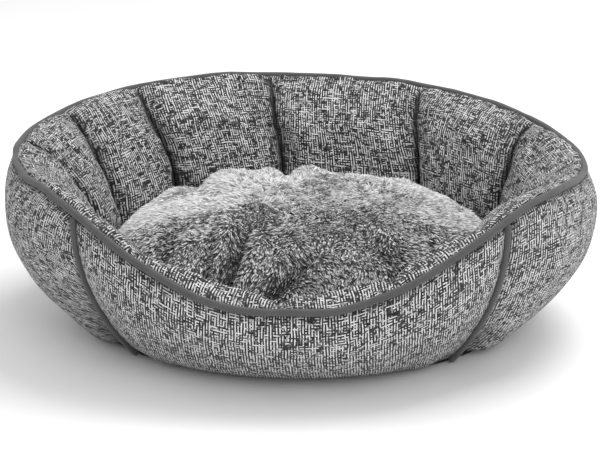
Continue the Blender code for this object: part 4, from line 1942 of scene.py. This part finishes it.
@dataclass
class Cushion:
    """The loose plush cushion: crowned, fuller at the back, creased near the low front."""

    form: BedForm
    ground: bpy.types.Material
    backing: bpy.types.Material
    plush: bpy.types.Material
    gap: float = 0.0030
    crown: float = 0.1345
    front_seam: float = 0.046
    back_seam: float = 0.086
    rest: float = 0.0172
    sectors: int = 5
    spokes: int = 132
    top_rings: int = 54
    bottom_rings: int = 14
    # Where the pile's painted light begins behind the crown, and how that line slants.
    ridge: float = -0.024
    ridge_slant: float = 0.03
    pile_length: float = 0.0074
    pile_width: float = 0.00092
    pile_density: float = 560000.0
    bench: ClothBench = field(
        default_factory=lambda: ClothBench(pressure=3.0, growth=0.02, stiffness=15.0, bending=0.6, cap=0.006)
    )

    def edge(self, angles: np.ndarray) -> np.ndarray:
        """Plan of the cushion's seam."""
        return self.form.place(angles, -self.form.depth(angles) - self.gap, 0.0)

    def seam_height(self, angles: np.ndarray) -> np.ndarray:
        """Height of the edge seam, higher at the back."""
        return blend(self.back_seam, self.front_seam, 0.5 + 0.5 * np.cos(angles))

    def folds(self, points: np.ndarray) -> tuple[np.ndarray, np.ndarray]:
        """The creases and swells of the plush top at each point in plan.

        Args:
            points: Points of the top.

        Returns:
            Height to add, in metres, and the painted shade of each point in a crease, from 0 to 1.
        """
        x, y = points[:, 0], points[:, 1]
        total = 0.0034 * waves(points[:, :2], 0.085, 71) + 0.0016 * waves(points[:, :2], 0.036, 72)
        hollow = np.zeros(len(points))
        creases = (
            ((-0.050, -0.062), (-0.066, -0.142), 0.0080, 0.0170),
            ((-0.080, -0.088), (-0.092, -0.128), 0.0060, 0.0100),
            ((0.026, -0.104), (-0.018, -0.146), 0.0070, 0.0140),
            ((0.062, -0.070), (0.098, -0.118), 0.0090, 0.0070),
            ((-0.120, -0.040), (-0.138, -0.100), 0.0090, 0.0070),
            ((-0.118, 0.050), (-0.100, 0.165), 0.0150, 0.0120),
            ((-0.018, 0.080), (-0.010, 0.165), 0.0100, 0.0100),
            ((0.085, 0.100), (0.100, 0.150), 0.0120, 0.0060),
        )
        for (from_x, from_y), (to_x, to_y), width, depth in creases:
            run = np.array([to_x - from_x, to_y - from_y])
            length = float(np.linalg.norm(run))
            run /= length
            along = (x - from_x) * run[0] + (y - from_y) * run[1]
            bow = 0.006 * np.sin(along * 40.0)
            away = (x - from_x) * -run[1] + (y - from_y) * run[0] - bow
            fade = ease(along, -0.02, 0.03) * (1.0 - ease(along, length, length + 0.03))
            valley = np.exp(-((away / width) ** 2))
            banks = np.exp(-(((np.abs(away) - 2.2 * width) / (1.4 * width)) ** 2))
            total += fade * depth * (0.45 * banks - valley)
            # Painted shade, deepest in the middle of each crease.
            hollow = np.maximum(hollow, fade * valley * depth / 0.014)
        return total, np.clip(hollow, 0.0, 1.0)

    def surface(self) -> tuple[np.ndarray, list[tuple[int, ...]], np.ndarray, np.ndarray]:
        """The closed cushion before it settles.

        Returns:
            Points, faces, True for the points of its plush top, and each point's painted crease shade.
        """
        angles = np.linspace(0.0, math.tau, self.spokes, endpoint=False)
        edge = self.edge(angles)
        centre = np.array([0.0, self.form.centre_y, 0.0])
        seam = self.seam_height(angles)
        front = 0.5 + 0.5 * np.cos(angles)
        rings, plush = [], []
        for share in np.sin(np.linspace(0.02, 1.0, self.bottom_rings) * math.pi / 2.0):
            ring = centre + share * (edge - centre)
            ring[:, 2] = seam - (seam - self.rest) * math.sqrt(max(1.0 - share**5, 0.0))
            rings.append(ring)
            plush.append(False)
        for share in np.sin(np.linspace(0.995, 0.01, self.top_rings) * math.pi / 2.0):
            ring = centre + share * (edge - centre)
            power = blend(3.4, 2.3, front)
            steep = blend(0.52, 0.74, front)
            ring[:, 2] = seam + (self.crown - seam) * (1.0 - share**power) ** steep
            rings.append(ring)
            plush.append(True)
        stack = np.array(rings)
        top = np.array(plush)
        flat = stack[top].reshape(-1, 3)
        share = np.linalg.norm((flat - centre)[:, :2], axis=1) / np.tile(
            np.linalg.norm((edge - centre)[:, :2], axis=1), int(top.sum())
        )
        lift, crease = self.folds(flat)
        flat[:, 2] += lift * (1.0 - ease(share, 0.88, 1.0))
        stack[top] = flat.reshape(stack[top].shape)
        points = stack.reshape(-1, 3)
        hollow = np.zeros((len(rings), self.spokes))
        hollow[top] = crease.reshape(-1, self.spokes)
        faces: list[tuple[int, ...]] = []
        for ring in range(len(rings) - 1):
            for spoke in range(self.spokes):
                following = (spoke + 1) % self.spokes
                here, there = ring * self.spokes, (ring + 1) * self.spokes
                faces.append((here + spoke, here + following, there + following, there + spoke))
        faces.append(tuple(range(self.spokes)))
        faces.append(tuple((len(rings) - 1) * self.spokes + spoke for spoke in range(self.spokes)))
        return points, faces, np.repeat(top, self.spokes), hollow.ravel()

    def body(self) -> bpy.types.Object:
        """The stuffed cushion with its plush ground on top and brushed cloth below.

        Returns:
            The piece.
        """
        points, faces, plush, hollow = self.surface()
        piece = new_mesh("plush_cushion", points, faces)
        crease = piece.data.attributes.new("hollow", "FLOAT", "POINT")
        crease.data.foreach_set("value", hollow.astype(np.float32))
        ordered = [tuple(polygon.vertices) for polygon in piece.data.polygons]
        held = ~plush
        settled = self.bench.settle(points, ordered, held)
        piece.data.vertices.foreach_set("co", settled.ravel())
        piece.data.update()
        dress(piece, self.ground)
        piece.data.materials.append(self.backing)
        under = np.array([not plush[list(polygon.vertices)].any() for polygon in piece.data.polygons])
        piece.data.polygons.foreach_set("material_index", under.astype(np.int32))
        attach(piece, CUSHION)
        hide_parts("cushion_top_cover", "cushion_bottom_cover", "cushion_fill")
        LOG.info("plush cushion body: %d points", len(points))
        return piece

    def pile(self, body: bpy.types.Object) -> list[bpy.types.Object]:
        """Grow the tufts on the plush top, one piece for each sector.

        Args:
            body: The cushion that they grow on.

        Returns:
            The pieces of pile.
        """
        tree = PileTree(self.plush).build()
        density = self.pile_density * 1.0
        pieces = []
        sectors = np.linspace(-180.0, 180.0, self.sectors + 1)
        for number, (low, high) in enumerate(zip(sectors[:-1], sectors[1:]), start=1):
            host = self._sector(body, math.radians(low), math.radians(high), number)
            inputs = {
                "Density": density,
                "Length": self.pile_length,
                "Width": self.pile_width,
                "Lean": 1.6,
                "Swirl": 0.8,
                "Flow": 1.3,
                "Ridge": self.ridge,
                "Ridge slant": self.ridge_slant,
                "Seed": number,
            }
            piece = grown(host, tree, inputs)
            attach(piece, CUSHION)
            LOG.info("%s: %d faces", piece.name, len(piece.data.polygons))
            pieces.append(piece)
        return pieces

    def _sector(self, body: bpy.types.Object, low: float, high: float, number: int) -> bpy.types.Object:
        """A copy of the plush top's faces between two angles around the middle.

        Args:
            body: The cushion.
            low: First angle.
            high: Last angle.
            number: The sector's number.

        Returns:
            The copy.
        """
        work = bmesh.new()
        work.from_mesh(body.data)
        gone = []
        for face in work.faces:
            middle = face.calc_center_median()
            angle = math.atan2(middle.x, -(middle.y - self.form.centre_y))
            if face.material_index == 1 or not low <= angle < high:
                gone.append(face)
        bmesh.ops.delete(work, geom=gone, context="FACES")
        mesh = bpy.data.meshes.new(f"plush_pile_{number}")
        work.to_mesh(mesh)
        work.free()
        host = bpy.data.objects.new(f"plush_pile_{number}", mesh)
        bpy.context.scene.collection.objects.link(host)
        return host

    def build(self) -> list[bpy.types.Object]:
        """Make the cushion and its pile.

        Returns:
            Its pieces.
        """
        body = self.body()
        return [body] + self.pile(body)


# ---------------------------------------------------------------- the studio


@dataclass
class Studio:
    """Pale floor, soft light and the camera."""

    elevation: float = math.radians(17.6)
    azimuth: float = math.radians(3.2)
    distance: float = 1.8
    aim: tuple[float, float, float] = (0.0, 0.0, 0.105)
    lens: float = 99.9

    def camera(self) -> bpy.types.Object:
        """A long lens a little above the bed, almost straight in front.

        Returns:
            The camera.
        """
        data = bpy.data.cameras.new("view")
        data.lens = self.lens
        data.sensor_width = 36.0
        data.clip_end = 50.0
        camera = bpy.data.objects.new("view", data)
        back = Vector(
            (
                math.sin(self.azimuth) * math.cos(self.elevation),
                -math.cos(self.azimuth) * math.cos(self.elevation),
                math.sin(self.elevation),
            )
        )
        camera.location = Vector(self.aim) + back * self.distance
        camera.rotation_euler = (-back).to_track_quat("-Z", "Y").to_euler()
        bpy.context.scene.collection.objects.link(camera)
        bpy.context.scene.camera = camera
        return camera

    def soft_light(
        self, name: str, place: tuple[float, float, float], size: float, power: float
    ) -> bpy.types.Object:
        """A large square light that looks at the bed.

        Args:
            name: Its name.
            place: Where it hangs.
            size: Its side in metres.
            power: Its power in watts.

        Returns:
            The light.
        """
        data = bpy.data.lights.new(name, "AREA")
        data.shape = "SQUARE"
        data.size = size
        data.energy = power
        light = bpy.data.objects.new(name, data)
        light.location = place
        light.rotation_euler = (Vector(self.aim) - Vector(place)).to_track_quat("-Z", "Y").to_euler()
        bpy.context.scene.collection.objects.link(light)
        return light

    def floor(self, material: bpy.types.Material) -> bpy.types.Object:
        """A wide pale floor.

        Args:
            material: Its finish.

        Returns:
            The floor.
        """
        reach = 6.0
        places = [(-reach, -reach), (reach, -reach), (reach, reach), (-reach, reach)]
        corners = np.array([(x, y, 0.0) for x, y in places])
        floor = new_mesh("studio_floor", corners, [(0, 1, 2, 3)])
        dress(floor, material)
        return floor

    def sky(self, strength: float) -> None:
        """Even white light from all round.

        Args:
            strength: Its brightness.
        """
        world = bpy.data.worlds.new("studio_air")
        world.use_nodes = True
        shade = world.node_tree.nodes["Background"]
        shade.inputs["Color"].default_value = (1.0, 1.0, 1.0, 1.0)
        shade.inputs["Strength"].default_value = strength
        bpy.context.scene.world = world

    def build(self) -> None:
        """Set up everything around the bed."""
        self.camera()
        self.floor(FloorFinish().build())
        self.sky(0.80)
        self.soft_light("high_key", (0.7, 0.6, 2.2), 1.4, 35.0)
        self.soft_light("front_fill", (1.0, -2.2, 1.3), 1.6, 16.0)
        view = bpy.context.scene.view_settings
        view.view_transform = "Standard"
        LOG.info("studio ready")


def main() -> None:
    """Build the bed around the frame, then the studio."""
    logging.basicConfig(level=logging.INFO, format="%(message)s")
    form = BedForm()
    linen = LinenFinish("outer_linen").build()
    # A darker, lower-contrast copy of the linen for the inner wall and the floor pad: painted shade for the
    # shaded inside.
    inner = LinenFinish("inner_linen", ply_contrast=0.50, middle=0.460).build()
    Studio().build()
    Piping(form, PipingFinish().build()).build()
    PocketWall(form, inner).build()
    OuterWall(form, linen).build()
    Base(form, inner, NonSlipFinish().build(), RubberFinish().build(), ThreadFinish().build()).build()
    Cushion(form, PlushGroundFinish().build(), BrushedFinish().build(), PlushFinish().build()).build()


if __name__ == "__main__":
    main()
